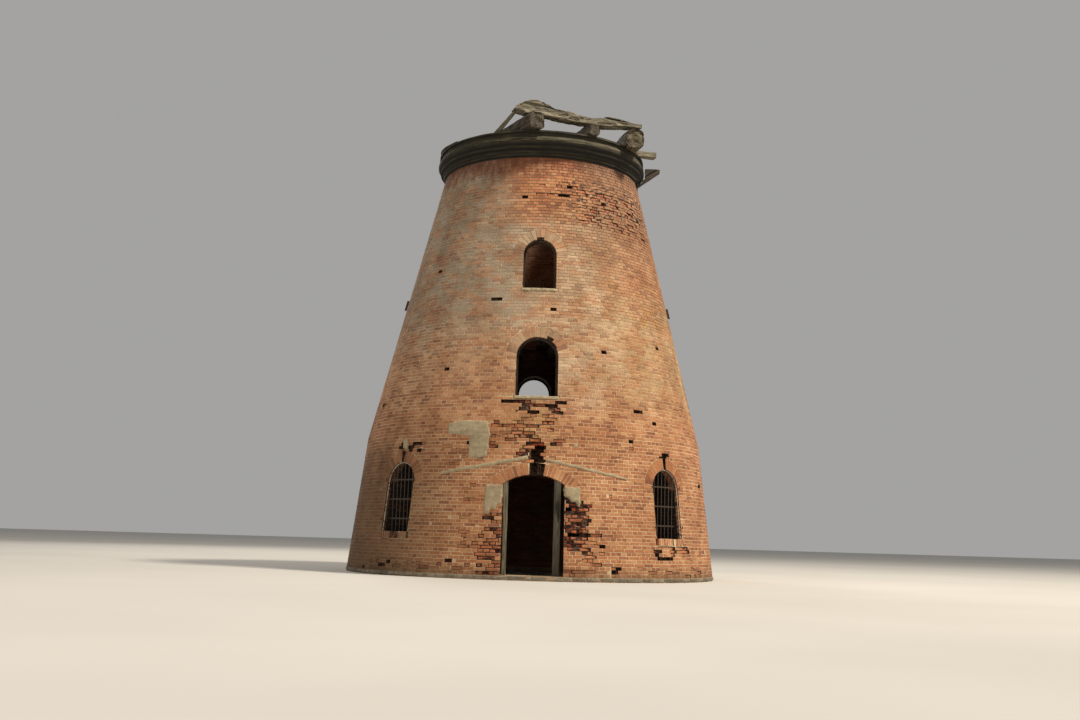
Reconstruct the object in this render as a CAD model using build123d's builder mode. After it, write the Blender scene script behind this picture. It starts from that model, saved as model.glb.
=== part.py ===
from build123d import *
from math import asin, cos, degrees, radians, sin, sqrt, tan
import os

os.makedirs("parts", exist_ok=True)

# A brick tower windmill that has lost its sails and cap. Millimetres, with the origin on the
# tower's axis at the ground. The front faces -Y, and an azimuth is counted from there towards +X.

# The round wall: radii of the brick face, and the height and thickness of each storey's wall
base_radius = 4450
knee_radius = 4090
top_radius = 2459
foundation_height = 100
foundation_proud = 45
foundation_width = 900
ground_storey = 3070
first_storey = 2630
second_storey = 4045
ground_wall = 770
first_wall = 640
second_wall = 510

# The bays that each storey's wall is divided in
ground_bay = 45
upper_bay = 90

# The doorway at the front
door_width = 1330
door_springing = 2020
door_crown = 2235

# The windows of the three storeys: width of the opening, its sill and its springing
ground_window_width = 900
ground_window_sill = 955
ground_window_springing = 2045
first_window_width = 930
first_window_sill = 3965
first_window_springing = 4860
second_window_width = 760
second_window_sill = 6500
second_window_springing = 7330

# The arches are one brick high, and their bricks sit in mortar
arch_height = 250
seat_gap = 0.3

# The door's arch has lost the bricks at its crown, and the wall over it some courses
crown_gap_width = 135
crown_gap_middle = -5
wall_hole_width = 290
wall_hole_middle = 62
wall_hole_high = 2900
damage_depth = 420

# Sills: how far they stand out, how deep they reach into the wall and how they bear at each end
sill_proud = 30
sill_depth = 260
sill_bearing = 50
brick_sill_height = 150
slab_sill_height = 70

# Timber frames: posts in the doorway, each a little away from its jamb, and linings in the windows
left_post_width = 100
left_post_gap = 20
right_post_width = 150
right_post_gap = 80
post_depth = 150
post_setback = 260
lining_width = 48
lining_depth = 90
lining_setback = 110

# Floors: beams on the inner ledges of the wall, with planks on them
beam_width = 200
beam_height = 220
plank_thickness = 40
first_beam_spacing = 950
first_beam_count = 7
second_beam_spacing = 900
second_beam_count = 6
floor_gap = 8
hole_width = 320
hole_start = 900

# The wooden cornice: two rings of curved pieces with open joints between them
ring_pieces = 8
ring_joint = 8
ring_inner_radius = 2080
lower_ring_height = 265
upper_ring_height = 350
neck_radius = 2475
neck_height = 20
bead_radius = 2517
bead_height = 85
cove_height = 85
band_radius = 2595
torus_radius = 2665
torus_height = 215
fascia_radius = 2590
lip_radius = 2635
lip_height = 45

# The three timbers of the cap frame that are left: where the front end lies and which way it runs
left_timber_end = (-150, -2800)
left_timber_azimuth = 27
left_timber_width = 400
middle_timber_end = (1240, -2420)
middle_timber_azimuth = 22
middle_timber_width = 270
right_timber_end = (2260, -1900)
right_timber_azimuth = 14
right_timber_width = 480
timber_height = 400
timber_corner = 60
middle_timber_wear = 75
middle_timber_wear_length = 380
right_timber_drop = 100
timber_tail = 120

# The weather beam that lies across them at the front
weather_beam_start = (-740, -2610)
weather_beam_azimuth = 16
weather_beam_length = 3240
weather_beam_depth = 320
weather_beam_sag = 65

# Its crooked outline: shares of its length, and heights over the outer timbers' top
beam_underside_left = ((0, 80), (0.08, 0), (0.27, 0), (0.4, -40), (0.53, -weather_beam_sag))
beam_underside_right = ((0.72, -weather_beam_sag), (0.8, -30), (0.86, 0), (1, 0))
beam_back = ((1, 120), (0.85, 160), (0.71, 180), (0.62, 105), (0.54, 115), (0.46, 155), (0.38, 210))
beam_hump = ((0.3, 240), (0.22, 335), (0.16, 360), (0.05, 250), (0, 130))

# Broken ends that still stand out: a strut, a plank and a bracket
strut_width = 90
strut_foot_width = 140
strut_foot = (-1170, -2160)
strut_head_rise = 500
strut_head_share = 0.02
plank_setback = 960
plank_width = 220
plank_depth = 140
plank_length = 620
bracket_azimuth = 88
bracket_width = 150
bracket_reach = 3060
bracket_top_drop = 70
bracket_tip_height = 90
bracket_foot_rise = 60

# The iron wall anchors on both sides
anchor_azimuths = (84, -84)
anchor_height = 6560
anchor_length = 240
anchor_width = 70
anchor_proud = 60

# Heights that follow
first_ledge = foundation_height + ground_storey
second_ledge = first_ledge + first_storey
wall_top = second_ledge + second_storey
lower_ring_top = wall_top + lower_ring_height
ring_top = lower_ring_top + upper_ring_height
timber_top = ring_top + timber_height
door_arch_top = door_crown + arch_height


def brick_face(height):
    """Radius of the wall's outer face at a height: steep below the knee, leaning in above it"""
    if height <= first_ledge:
        share = (height - foundation_height) / ground_storey
        return base_radius + (knee_radius - base_radius) * share
    share = (height - first_ledge) / (first_storey + second_storey)
    return knee_radius + (top_radius - knee_radius) * share


def wall_section(low, high, thickness, proud=0):
    """Corners of a slice through the wall between two heights"""
    low_face = brick_face(low) + proud
    high_face = brick_face(high) + proud
    inner_low = low_face - proud - thickness
    inner_high = high_face - proud - thickness
    return (low_face, low), (high_face, high), (inner_high, high), (inner_low, low)


def outward(azimuth):
    """Unit vector from the tower's axis towards an azimuth"""
    return sin(radians(azimuth)), -cos(radians(azimuth)), 0


def sideways(azimuth):
    """Unit vector to the right of someone who looks at the wall at an azimuth from outside"""
    return cos(radians(azimuth)), sin(radians(azimuth)), 0


def section_plane(azimuth):
    """Upright plane through the axis, with x outward and y up"""
    backward = tuple(-value for value in sideways(azimuth))
    return Plane(origin=(0, 0, 0), x_dir=outward(azimuth), z_dir=backward)


def facing_plane(azimuth, distance=0):
    """Upright plane that faces outward, with x to the right and y up"""
    origin = tuple(distance * value for value in outward(azimuth))
    return Plane(origin=origin, x_dir=sideways(azimuth), z_dir=outward(azimuth))


def arc_radius(width, springing, crown):
    """Radius of the arc that spans an opening"""
    rise = crown - springing
    return ((width / 2) ** 2 + rise**2) / (2 * rise)


def opening_outline(width, sill, springing, crown):
    """An opening with an arched head"""
    half = width / 2
    with BuildSketch() as outline:
        with BuildLine():
            Polyline((half, springing), (half, sill), (-half, sill), (-half, springing))
            ThreePointArc((-half, springing), (0, crown), (half, springing))
        make_face()
    return outline.sketch


def arch_outline(width, springing, crown, height):
    """The ring of bricks on edge over an opening, down to level seats at the springing line"""
    radius = arc_radius(width, springing, crown)
    drop = springing - (crown - radius)
    inner_half = width / 2
    outer_half = sqrt((radius + height) ** 2 - drop**2)
    with BuildSketch() as outline:
        with BuildLine():
            ThreePointArc((-inner_half, springing), (0, crown), (inner_half, springing))
            Line((inner_half, springing), (outer_half, springing))
            ThreePointArc((outer_half, springing), (0, crown + height), (-outer_half, springing))
            Line((-outer_half, springing), (-inner_half, springing))
        make_face()
    return outline.sketch


def upright_outline(width, middle, low, high):
    """A rectangle: the face of a post, or of a gap where bricks have fallen out"""
    with BuildSketch() as outline:
        with Locations((middle, (low + high) / 2)):
            Rectangle(width, high - low)
    return outline.sketch


def half_angle(width, radius):
    """Half of the angle that a width takes up on the wall"""
    return degrees(asin(width / 2 / radius))


def window(azimuth, width, sill, springing):
    """A window with a round head"""
    return azimuth, width, sill, springing, springing + width / 2


# Every opening: its azimuth, width, sill, springing and crown
front_door = (0, door_width, foundation_height, door_springing, door_crown)
ground_windows = {
    "front_right": window(45, ground_window_width, ground_window_sill, ground_window_springing),
    "back_right": window(135, ground_window_width, ground_window_sill, ground_window_springing),
    "back_left": window(225, ground_window_width, ground_window_sill, ground_window_springing),
    "front_left": window(315, ground_window_width, ground_window_sill, ground_window_springing),
}
first_windows = {
    "front": window(0, first_window_width, first_window_sill, first_window_springing),
    "back": window(180, first_window_width, first_window_sill, first_window_springing),
}
second_windows = {
    "front": window(0, second_window_width, second_window_sill, second_window_springing),
    "back": window(180, second_window_width, second_window_sill, second_window_springing),
}

# Foundation: a low ring of fieldstone that stands out a little from the brick
with BuildPart() as foundation:
    with BuildSketch():
        Circle(base_radius + foundation_proud)
        Circle(base_radius + foundation_proud - foundation_width, mode=Mode.SUBTRACT)
    extrude(amount=foundation_height)
foundation.part.label = "foundation"
export_step(foundation.part, "parts/foundation.step")

# Ground storey: eight bays of wall, with the doorway in one and windows in four of them
ground_bays = {
    "front": (0, front_door),
    "front_right": (45, ground_windows["front_right"]),
    "right": (90, None),
    "back_right": (135, ground_windows["back_right"]),
    "back": (180, None),
    "back_left": (225, ground_windows["back_left"]),
    "left": (270, None),
    "front_left": (315, ground_windows["front_left"]),
}
for side, (azimuth, opening) in ground_bays.items():
    with BuildPart() as bay:
        with BuildSketch(section_plane(azimuth - ground_bay / 2)):
            Polygon(*wall_section(foundation_height, first_ledge, ground_wall), align=None)
        revolve(axis=Axis.Z, revolution_arc=ground_bay)
        if opening:
            direction, width, sill, springing, crown = opening
            with BuildSketch(facing_plane(direction)):
                add(opening_outline(width, sill, springing, crown))
                add(arch_outline(width, springing, crown, arch_height + seat_gap))
            extrude(amount=2 * base_radius, mode=Mode.SUBTRACT)
        if side == "front":
            with BuildSketch(facing_plane(0, brick_face(wall_hole_high) - damage_depth)):
                add(upright_outline(wall_hole_width, wall_hole_middle, door_arch_top, wall_hole_high))
            extrude(amount=base_radius, mode=Mode.SUBTRACT)
        if side in ground_windows:
            sill_low = ground_window_sill - brick_sill_height
            reach = half_angle(ground_window_width + 2 * (sill_bearing + seat_gap), brick_face(sill_low))
            pocket = wall_section(sill_low, ground_window_sill, sill_depth + seat_gap, sill_proud)
            with BuildSketch(section_plane(azimuth - reach)):
                Polygon(*pocket, align=None)
            revolve(axis=Axis.Z, revolution_arc=2 * reach, mode=Mode.SUBTRACT)
    bay.part.label = f"ground_wall_{side}"
    export_step(bay.part, f"parts/ground_wall_{side}.step")

# First and second storey: four bays each, with a window at the front and at the back
upper_bays = {"front": 0, "right": 90, "back": 180, "left": 270}
storeys = {
    "first": (first_ledge, second_ledge, first_wall, first_windows),
    "second": (second_ledge, wall_top, second_wall, second_windows),
}
for storey, (low, high, thickness, windows) in storeys.items():
    for side, azimuth in upper_bays.items():
        with BuildPart() as bay:
            with BuildSketch(section_plane(azimuth - upper_bay / 2)):
                Polygon(*wall_section(low, high, thickness), align=None)
            revolve(axis=Axis.Z, revolution_arc=upper_bay)
            if side in windows:
                direction, width, sill, springing, crown = windows[side]
                with BuildSketch(facing_plane(direction)):
                    add(opening_outline(width, sill, springing, crown))
                    add(arch_outline(width, springing, crown, arch_height + seat_gap))
                extrude(amount=2 * base_radius, mode=Mode.SUBTRACT)
                sill_low = sill - slab_sill_height
                reach = half_angle(width + 2 * (sill_bearing + seat_gap), brick_face(sill_low))
                pocket = wall_section(sill_low, sill, sill_depth + seat_gap, sill_proud)
                with BuildSketch(section_plane(direction - reach)):
                    Polygon(*pocket, align=None)
                revolve(axis=Axis.Z, revolution_arc=2 * reach, mode=Mode.SUBTRACT)
        bay.part.label = f"{storey}_wall_{side}"
        export_step(bay.part, f"parts/{storey}_wall_{side}.step")

# Arches: rings of brick on edge through the whole wall, over the doorway and the windows
arches = {
    "front_door_arch": ([front_door], foundation_height, first_ledge, ground_wall),
    "ground_window_arches": (ground_windows.values(), foundation_height, first_ledge, ground_wall),
    "first_window_arches": (first_windows.values(), first_ledge, second_ledge, first_wall),
    "second_window_arches": (second_windows.values(), second_ledge, wall_top, second_wall),
}
for name, (openings, low, high, thickness) in arches.items():
    with BuildPart() as arch:
        for azimuth, width, sill, springing, crown in openings:
            with BuildSketch(facing_plane(azimuth)):
                add(arch_outline(width, springing, crown, arch_height))
            extrude(amount=2 * base_radius)
        with BuildSketch(Plane.XZ):
            Polygon(*wall_section(low, high, thickness), align=None)
        revolve(axis=Axis.Z, mode=Mode.INTERSECT)
        if name == "front_door_arch":
            with BuildSketch(facing_plane(0, brick_face(wall_hole_high) - damage_depth)):
                add(upright_outline(crown_gap_width, crown_gap_middle, door_springing, door_arch_top))
            extrude(amount=base_radius, mode=Mode.SUBTRACT)
    arch.part.label = name
    export_step(arch.part, f"parts/{name}.step")

# Sills of the ground windows: bricks on edge
with BuildPart() as ground_window_sills:
    sill_low = ground_window_sill - brick_sill_height
    reach = half_angle(ground_window_width + 2 * sill_bearing, brick_face(sill_low))
    sill_section = wall_section(sill_low, ground_window_sill, sill_depth, sill_proud)
    for azimuth, width, sill, springing, crown in ground_windows.values():
        with BuildSketch(section_plane(azimuth - reach)):
            Polygon(*sill_section, align=None)
        revolve(axis=Axis.Z, revolution_arc=2 * reach)
ground_window_sills.part.label = "ground_window_sills"
export_step(ground_window_sills.part, "parts/ground_window_sills.step")

# Sills of the upper windows: thin stone slabs
for storey, (low, high, thickness, windows) in storeys.items():
    with BuildPart() as slabs:
        for azimuth, width, sill, springing, crown in windows.values():
            sill_low = sill - slab_sill_height
            reach = half_angle(width + 2 * sill_bearing, brick_face(sill_low))
            with BuildSketch(section_plane(azimuth - reach)):
                Polygon(*wall_section(sill_low, sill, sill_depth, sill_proud), align=None)
            revolve(axis=Axis.Z, revolution_arc=2 * reach)
    slabs.part.label = f"{storey}_window_sills"
    export_step(slabs.part, f"parts/{storey}_window_sills.step")

# Door frame: two posts that stand on the foundation and reach up to the arch
post_face = brick_face(foundation_height) - post_setback
left_post_middle = -door_width / 2 + left_post_gap + left_post_width / 2
right_post_middle = door_width / 2 - right_post_gap - right_post_width / 2
with BuildPart() as front_door_posts:
    with BuildSketch(facing_plane(0, post_face - post_depth)):
        add(upright_outline(left_post_width, left_post_middle, foundation_height, door_crown))
        add(upright_outline(right_post_width, right_post_middle, foundation_height, door_crown))
        doorway = opening_outline(
            door_width, foundation_height, door_springing - seat_gap, door_crown - seat_gap
        )
        add(doorway, mode=Mode.INTERSECT)
    extrude(amount=post_depth)
front_door_posts.part.label = "front_door_posts"
export_step(front_door_posts.part, "parts/front_door_posts.step")

# Window frames: timber linings that follow the round head, on the sill of each upper window
for storey, (low, high, thickness, windows) in storeys.items():
    with BuildPart() as frames:
        for azimuth, width, sill, springing, crown in windows.values():
            lining_back = brick_face(crown) - lining_setback - lining_depth
            clear_width = width - 2 * lining_width
            clear_sill = sill + lining_width
            clear_crown = crown - lining_width
            with BuildSketch(facing_plane(azimuth, lining_back)):
                add(opening_outline(width - 2 * seat_gap, sill, springing, crown - seat_gap))
                clear = opening_outline(clear_width, clear_sill, springing, clear_crown)
                add(clear, mode=Mode.SUBTRACT)
            extrude(amount=lining_depth)
    frames.part.label = f"{storey}_window_frames"
    export_step(frames.part, f"parts/{storey}_window_frames.step")

# First floor: beams from side to side on the ledge, and planks on them
first_plank_top = first_ledge + beam_height + plank_thickness
first_floor_radius = brick_face(first_plank_top) - first_wall - floor_gap
with BuildPart() as first_floor_beams:
    with BuildSketch(Plane.XY.offset(first_ledge)):
        Circle(first_floor_radius)
        with GridLocations(0, first_beam_spacing, 1, first_beam_count):
            Rectangle(2 * base_radius, beam_width, mode=Mode.INTERSECT)
    extrude(amount=beam_height)
first_floor_beams.part.label = "first_floor_beams"
export_step(first_floor_beams.part, "parts/first_floor_beams.step")

with BuildPart() as first_floor_planks:
    with BuildSketch(Plane.XY.offset(first_ledge + beam_height)):
        Circle(first_floor_radius)
    extrude(amount=plank_thickness)
first_floor_planks.part.label = "first_floor_planks"
export_step(first_floor_planks.part, "parts/first_floor_planks.step")

# Second floor: beams from front to back, and planks with some of them gone at the back
second_plank_top = second_ledge + beam_height + plank_thickness
second_floor_radius = brick_face(second_plank_top) - second_wall - floor_gap
with BuildPart() as second_floor_beams:
    with BuildSketch(Plane.XY.offset(second_ledge)):
        Circle(second_floor_radius)
        with GridLocations(second_beam_spacing, 0, second_beam_count, 1):
            Rectangle(beam_width, 2 * base_radius, mode=Mode.INTERSECT)
    extrude(amount=beam_height)
second_floor_beams.part.label = "second_floor_beams"
export_step(second_floor_beams.part, "parts/second_floor_beams.step")

with BuildPart() as second_floor_planks:
    with BuildSketch(Plane.XY.offset(second_ledge + beam_height)):
        Circle(second_floor_radius)
        with Locations((0, hole_start)):
            Rectangle(hole_width, second_floor_radius, align=(Align.MAX, Align.MIN), mode=Mode.SUBTRACT)
    extrude(amount=plank_thickness)
second_floor_planks.part.label = "second_floor_planks"
export_step(second_floor_planks.part, "parts/second_floor_planks.step")


def ring_joints(radius, low, high, first_azimuth):
    """Thin blocks that stand where the joints of a ring are"""
    with BuildPart() as joints:
        for index in range(ring_pieces):
            azimuth = first_azimuth + index * 360 / ring_pieces
            with BuildSketch(facing_plane(azimuth)):
                with Locations((0, low)):
                    Rectangle(ring_joint, high - low, align=(Align.CENTER, Align.MIN))
            extrude(amount=radius)
    return joints.part


# Lower ring of the cornice: a bead over a low neck, a cove and a plain band
with BuildPart() as cornice_lower_ring:
    with BuildSketch(Plane.XZ):
        with BuildLine():
            bead_low = wall_top + neck_height
            bead_top = bead_low + bead_height
            cove = CenterArc((band_radius, bead_top), cove_height, 180, -90)
            Polyline((ring_inner_radius, wall_top), (neck_radius, wall_top), (neck_radius, bead_low))
            ThreePointArc(
                (neck_radius, bead_low),
                (bead_radius, bead_low + bead_height / 2),
                (neck_radius, bead_top),
            )
            Line((neck_radius, bead_top), cove @ 0)
            Polyline(
                cove @ 1,
                (band_radius, lower_ring_top),
                (ring_inner_radius, lower_ring_top),
                (ring_inner_radius, wall_top),
            )
        make_face()
    revolve(axis=Axis.Z)
    add(ring_joints(2 * base_radius, wall_top, lower_ring_top, 0), mode=Mode.SUBTRACT)
cornice_lower_ring.part.label = "cornice_lower_ring"
export_step(cornice_lower_ring.part, "parts/cornice_lower_ring.step")

# Upper ring: a half round, a fascia set back over it and a thin lip on top
with BuildPart() as cornice_upper_ring:
    with BuildSketch(Plane.XZ):
        with BuildLine():
            torus_top = lower_ring_top + torus_height
            Line((ring_inner_radius, lower_ring_top), (fascia_radius, lower_ring_top))
            ThreePointArc(
                (fascia_radius, lower_ring_top),
                (torus_radius, lower_ring_top + torus_height / 2),
                (fascia_radius, torus_top),
            )
            Polyline(
                (fascia_radius, torus_top),
                (fascia_radius, ring_top - lip_height),
                (lip_radius, ring_top - lip_height),
                (lip_radius, ring_top),
                (ring_inner_radius, ring_top),
                (ring_inner_radius, lower_ring_top),
            )
        make_face()
    revolve(axis=Axis.Z)
    half_piece = 180 / ring_pieces
    add(ring_joints(2 * base_radius, lower_ring_top, ring_top, half_piece), mode=Mode.SUBTRACT)
cornice_upper_ring.part.label = "cornice_upper_ring"
export_step(cornice_upper_ring.part, "parts/cornice_upper_ring.step")


def timber_plane(end, azimuth, height):
    """Upright plane across a timber at its front end, with x to the right and z towards its tail"""
    backward = tuple(-value for value in outward(azimuth))
    x, y = end
    right = tuple(-value for value in sideways(azimuth))
    return Plane(origin=(x, y, height), x_dir=right, z_dir=backward)


def timber_length(end, azimuth):
    """From a timber's front end back to the far side of the ring"""
    x, y = end
    back_x, back_y = (-value for value in outward(azimuth)[:2])
    along = x * back_x + y * back_y
    radius = fascia_radius - timber_tail
    return -along + sqrt(along**2 - x**2 - y**2 + radius**2)


# Timbers of the cap frame: squared logs across the ring, with their front ends standing out
middle_timber_height = timber_height - weather_beam_sag
timbers = {
    "left_cap_timber": (left_timber_end, left_timber_azimuth, left_timber_width, timber_height),
    "middle_cap_timber": (
        middle_timber_end,
        middle_timber_azimuth,
        middle_timber_width,
        middle_timber_height,
    ),
}
for name, (end, azimuth, width, height) in timbers.items():
    with BuildPart() as timber:
        with BuildSketch(timber_plane(end, azimuth, ring_top + height / 2)):
            RectangleRounded(width, height, timber_corner)
        extrude(amount=timber_length(end, azimuth))
        if name == "middle_cap_timber":
            worn_side = outward(azimuth + 90)
            worn_end = Plane(origin=(*end, ring_top + height), x_dir=outward(azimuth + 180), z_dir=worn_side)
            with BuildSketch(worn_end):
                Polygon((0, 0), (0, -middle_timber_wear), (middle_timber_wear_length, 0), align=None)
            extrude(amount=width, both=True, mode=Mode.SUBTRACT)
    timber.part.label = name
    export_step(timber.part, f"parts/{name}.step")

# The right timber is a heavier log, housed over the ring so that its end hangs below the rim
right_timber_height = timber_height + right_timber_drop
with BuildPart() as right_cap_timber:
    log_middle = timber_top - right_timber_height / 2
    with BuildSketch(timber_plane(right_timber_end, right_timber_azimuth, log_middle)):
        RectangleRounded(right_timber_width, right_timber_height, right_timber_width / 3)
    extrude(amount=timber_length(right_timber_end, right_timber_azimuth))
    with BuildSketch(Plane.XY.offset(ring_top)):
        Circle(torus_radius + floor_gap)
    extrude(amount=-right_timber_height, mode=Mode.SUBTRACT)
right_cap_timber.part.label = "right_cap_timber"
export_step(right_cap_timber.part, "parts/right_cap_timber.step")


def beam_points(outline):
    """Points of the weather beam's outline, along its length and up from the timbers"""
    return [(share * weather_beam_length, rise) for share, rise in outline]


# Weather beam: a crooked log across the other three, humped at its left end and sagging between
along_beam = sideways(weather_beam_azimuth)
across_beam = outward(weather_beam_azimuth)
beam_x, beam_y = weather_beam_start
beam_front = (
    beam_x - across_beam[0] * weather_beam_depth / 2,
    beam_y - across_beam[1] * weather_beam_depth / 2,
    timber_top,
)
with BuildPart() as weather_beam:
    with BuildSketch(Plane(origin=beam_front, x_dir=along_beam, z_dir=across_beam)):
        with BuildLine():
            Polyline(beam_points(beam_underside_left + beam_underside_right + beam_back[:1]))
            Spline(beam_points(beam_back + beam_hump))
            Polyline(beam_points(beam_hump[-1:] + beam_underside_left[:1]))
        make_face()
    extrude(amount=weather_beam_depth)
weather_beam.part.label = "weather_beam"
export_step(weather_beam.part, "parts/weather_beam.step")

# Strut: a thin timber that leans from the ring against the back of the beam's left end
head_along = strut_head_share * weather_beam_length
head_behind = strut_width / 2 * (1 + tan(radians(weather_beam_azimuth))) + seat_gap
head_x = beam_front[0] + along_beam[0] * head_along
head_y = beam_front[1] + along_beam[1] * head_along + head_behind
with BuildPart() as strut:
    with BuildSketch(Plane.XY.offset(ring_top)):
        with Locations(strut_foot):
            Rectangle(strut_foot_width, strut_width)
    with BuildSketch(Plane.XY.offset(ring_top + strut_head_rise)):
        with Locations((head_x, head_y)):
            Rectangle(strut_width, strut_width)
    loft()
strut.part.label = "cap_strut"
export_step(strut.part, "parts/cap_strut.step")

# A plank that lies on the ring, with one end against the right timber and the other standing out
end_x, end_y = right_timber_end
timber_front = outward(right_timber_azimuth)
timber_side = sideways(right_timber_azimuth)
plank_start = right_timber_width / 2 + seat_gap
plank_origin = (
    end_x - timber_front[0] * plank_setback + timber_side[0] * plank_start,
    end_y - timber_front[1] * plank_setback + timber_side[1] * plank_start,
    ring_top,
)
plank_plane = Plane(origin=plank_origin, x_dir=timber_front, z_dir=timber_side)
with BuildPart() as plank_stub:
    with BuildSketch(plank_plane):
        Rectangle(plank_width, plank_depth, align=(Align.CENTER, Align.MAX))
    extrude(amount=plank_length)
plank_stub.part.label = "plank_stub"
export_step(plank_stub.part, "parts/plank_stub.step")

# A bracket against the cornice, notched over its mouldings and with a slanting underside
bracket_top = ring_top - bracket_top_drop
with BuildPart() as bracket_stub:
    with BuildSketch(section_plane(bracket_azimuth)):
        Polygon(
            (bead_radius + seat_gap, wall_top + bracket_foot_rise),
            (bracket_reach, bracket_top - bracket_tip_height),
            (bracket_reach, bracket_top),
            (torus_radius + seat_gap, bracket_top),
            (torus_radius + seat_gap, lower_ring_top - seat_gap),
            (band_radius + seat_gap, lower_ring_top - seat_gap),
            (band_radius + seat_gap, bead_top + cove_height),
            align=None,
        )
    extrude(amount=bracket_width / 2, both=True)
bracket_stub.part.label = "bracket_stub"
export_step(bracket_stub.part, "parts/bracket_stub.step")

# Wall anchors: irons that lie along the leaning brick face on both sides
anchor_low = anchor_height - anchor_length / 2
anchor_high = anchor_height + anchor_length / 2
anchor_foot = brick_face(anchor_low) + seat_gap
anchor_head = brick_face(anchor_high) + seat_gap
with BuildPart() as wall_anchors:
    for azimuth in anchor_azimuths:
        with BuildSketch(section_plane(azimuth)):
            Polygon(
                (anchor_foot, anchor_low),
                (anchor_foot + anchor_proud, anchor_low),
                (anchor_head + anchor_proud, anchor_high),
                (anchor_head, anchor_high),
                align=None,
            )
        extrude(amount=anchor_width / 2, both=True)
wall_anchors.part.label = "wall_anchors"
export_step(wall_anchors.part, "parts/wall_anchors.step")
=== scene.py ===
# %% [markdown]
# # The brick tower of a windmill
# This mill lost its sails and its turning cap long ago. What stands is a round brick tower that
# leans inward, with a moulded wooden cornice on top and a few heavy timbers across the opening.
# The walls are built here brick by brick, because at this size the courses, the broken edges and
# the fallen bricks are what the eye reads first. Everything sits in one frame: metres, the tower's
# axis at x = y = 0, its foot at z = 0 and the doorway towards -Y.

import math
import random

import bmesh
import bpy
import numpy as np
from mathutils import Matrix, Vector, noise


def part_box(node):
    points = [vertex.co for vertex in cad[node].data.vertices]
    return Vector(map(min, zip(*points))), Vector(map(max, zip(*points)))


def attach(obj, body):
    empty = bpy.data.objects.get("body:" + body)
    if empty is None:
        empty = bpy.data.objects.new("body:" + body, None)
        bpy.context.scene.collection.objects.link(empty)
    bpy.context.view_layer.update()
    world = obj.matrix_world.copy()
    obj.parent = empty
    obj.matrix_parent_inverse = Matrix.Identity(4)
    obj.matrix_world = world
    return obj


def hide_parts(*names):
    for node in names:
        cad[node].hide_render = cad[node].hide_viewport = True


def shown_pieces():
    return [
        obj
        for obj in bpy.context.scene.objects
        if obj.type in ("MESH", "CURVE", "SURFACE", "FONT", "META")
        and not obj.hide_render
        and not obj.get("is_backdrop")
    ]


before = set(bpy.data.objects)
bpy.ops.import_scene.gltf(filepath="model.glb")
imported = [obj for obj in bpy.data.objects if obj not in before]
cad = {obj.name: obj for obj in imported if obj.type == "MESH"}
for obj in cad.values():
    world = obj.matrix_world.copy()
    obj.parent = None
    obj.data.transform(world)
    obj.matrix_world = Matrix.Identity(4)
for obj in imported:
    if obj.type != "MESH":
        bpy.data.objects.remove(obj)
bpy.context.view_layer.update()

# %% [markdown]
# ## The shape of the wall
# The brick face is two cones, one on the other: nearly upright up to the first ledge, then leaning
# in. Its radii could be written down as numbers, but they are read from the corners of the packed
# walls, so that the bricks always lie on them.

# %% Radii and thicknesses of the wall
def corner_radii(node, height):
    """Smallest and largest distance from the axis among a node's corners at a height"""
    corners = [v.co for v in cad[node].data.vertices if abs(v.co.z - height) < 0.001]
    distances = [math.hypot(p.x, p.y) for p in corners]
    return min(distances), max(distances)


foot, knee = (corner.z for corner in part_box("ground_wall_back"))
ledge, wall_top = (corner.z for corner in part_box("second_wall_left"))
face_heights = (foot, knee, wall_top)
face_radii = (
    corner_radii("ground_wall_back", foot)[1],
    corner_radii("first_wall_left", knee)[1],
    corner_radii("second_wall_left", wall_top)[1],
)


def wall_thickness(node, height):
    """Thickness of a storey's wall, read at its foot"""
    inner, outer = corner_radii(node, height)
    return outer - inner


thickness = {
    "ground": wall_thickness("ground_wall_back", foot),
    "first": wall_thickness("first_wall_left", knee),
    "second": wall_thickness("second_wall_left", ledge),
}
print("radii:", [round(r, 3) for r in face_radii], "thickness:", thickness)

# %% [markdown]
# A point on a round wall is easiest to give by where it is on the face: an azimuth counted from
# the front towards +X, a distance across from there, a height, and a depth behind the face. A flat
# wall could also be bent round by a modifier, but then no brick would stay square to an opening.

# %% Places on the wall
def face_radius(height):
    """Radius of the brick face at a height"""
    return np.interp(height, face_heights, face_radii)


def on_wall(azimuth, across, height, depth):
    """Points behind the brick face, with level lines across and straight lines into the wall"""
    angle = np.radians(azimuth)
    radius = face_radius(height)
    out = np.sqrt(np.maximum(radius**2 - across**2, 0)) - depth
    x = out * np.sin(angle) + across * np.cos(angle)
    y = -out * np.cos(angle) + across * np.sin(angle)
    return np.stack([x, y, height], -1)


def seen_from(azimuth, point):
    """The distance across and the distance out of a point, for someone who faces an azimuth"""
    angle = math.radians(azimuth)
    out = point[0] * math.sin(angle) - point[1] * math.cos(angle)
    across = point[0] * math.cos(angle) + point[1] * math.sin(angle)
    return across, out


print("radius at the upper ledge:", round(float(face_radius(ledge)), 3))


# %% [markdown]
# ## Openings
# The doorway has a flat segmental arch and every window a round one. All arches are one brick high
# and stand on level seats. The ground windows have sills of brick on edge, the upper ones a slab.
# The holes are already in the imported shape. Their measures could be read from its corners, but the
# few widths and heights that a mason sets out are easier to follow, and bricks are laid to them.

# %% The openings and their arches
arch_height = 0.25


def opening(azimuth, half, sill, springing, rise, sill_height=0.0):
    """The measures of an opening: half its width, its heights, and the circle of its arch"""
    radius = (half**2 + rise**2) / (2 * rise)
    return {
        "azimuth": azimuth,
        "half": half,
        "sill": sill,
        "sill_low": sill - sill_height,
        "springing": springing,
        "radius": radius,
        "centre": springing + rise - radius,
    }


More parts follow.
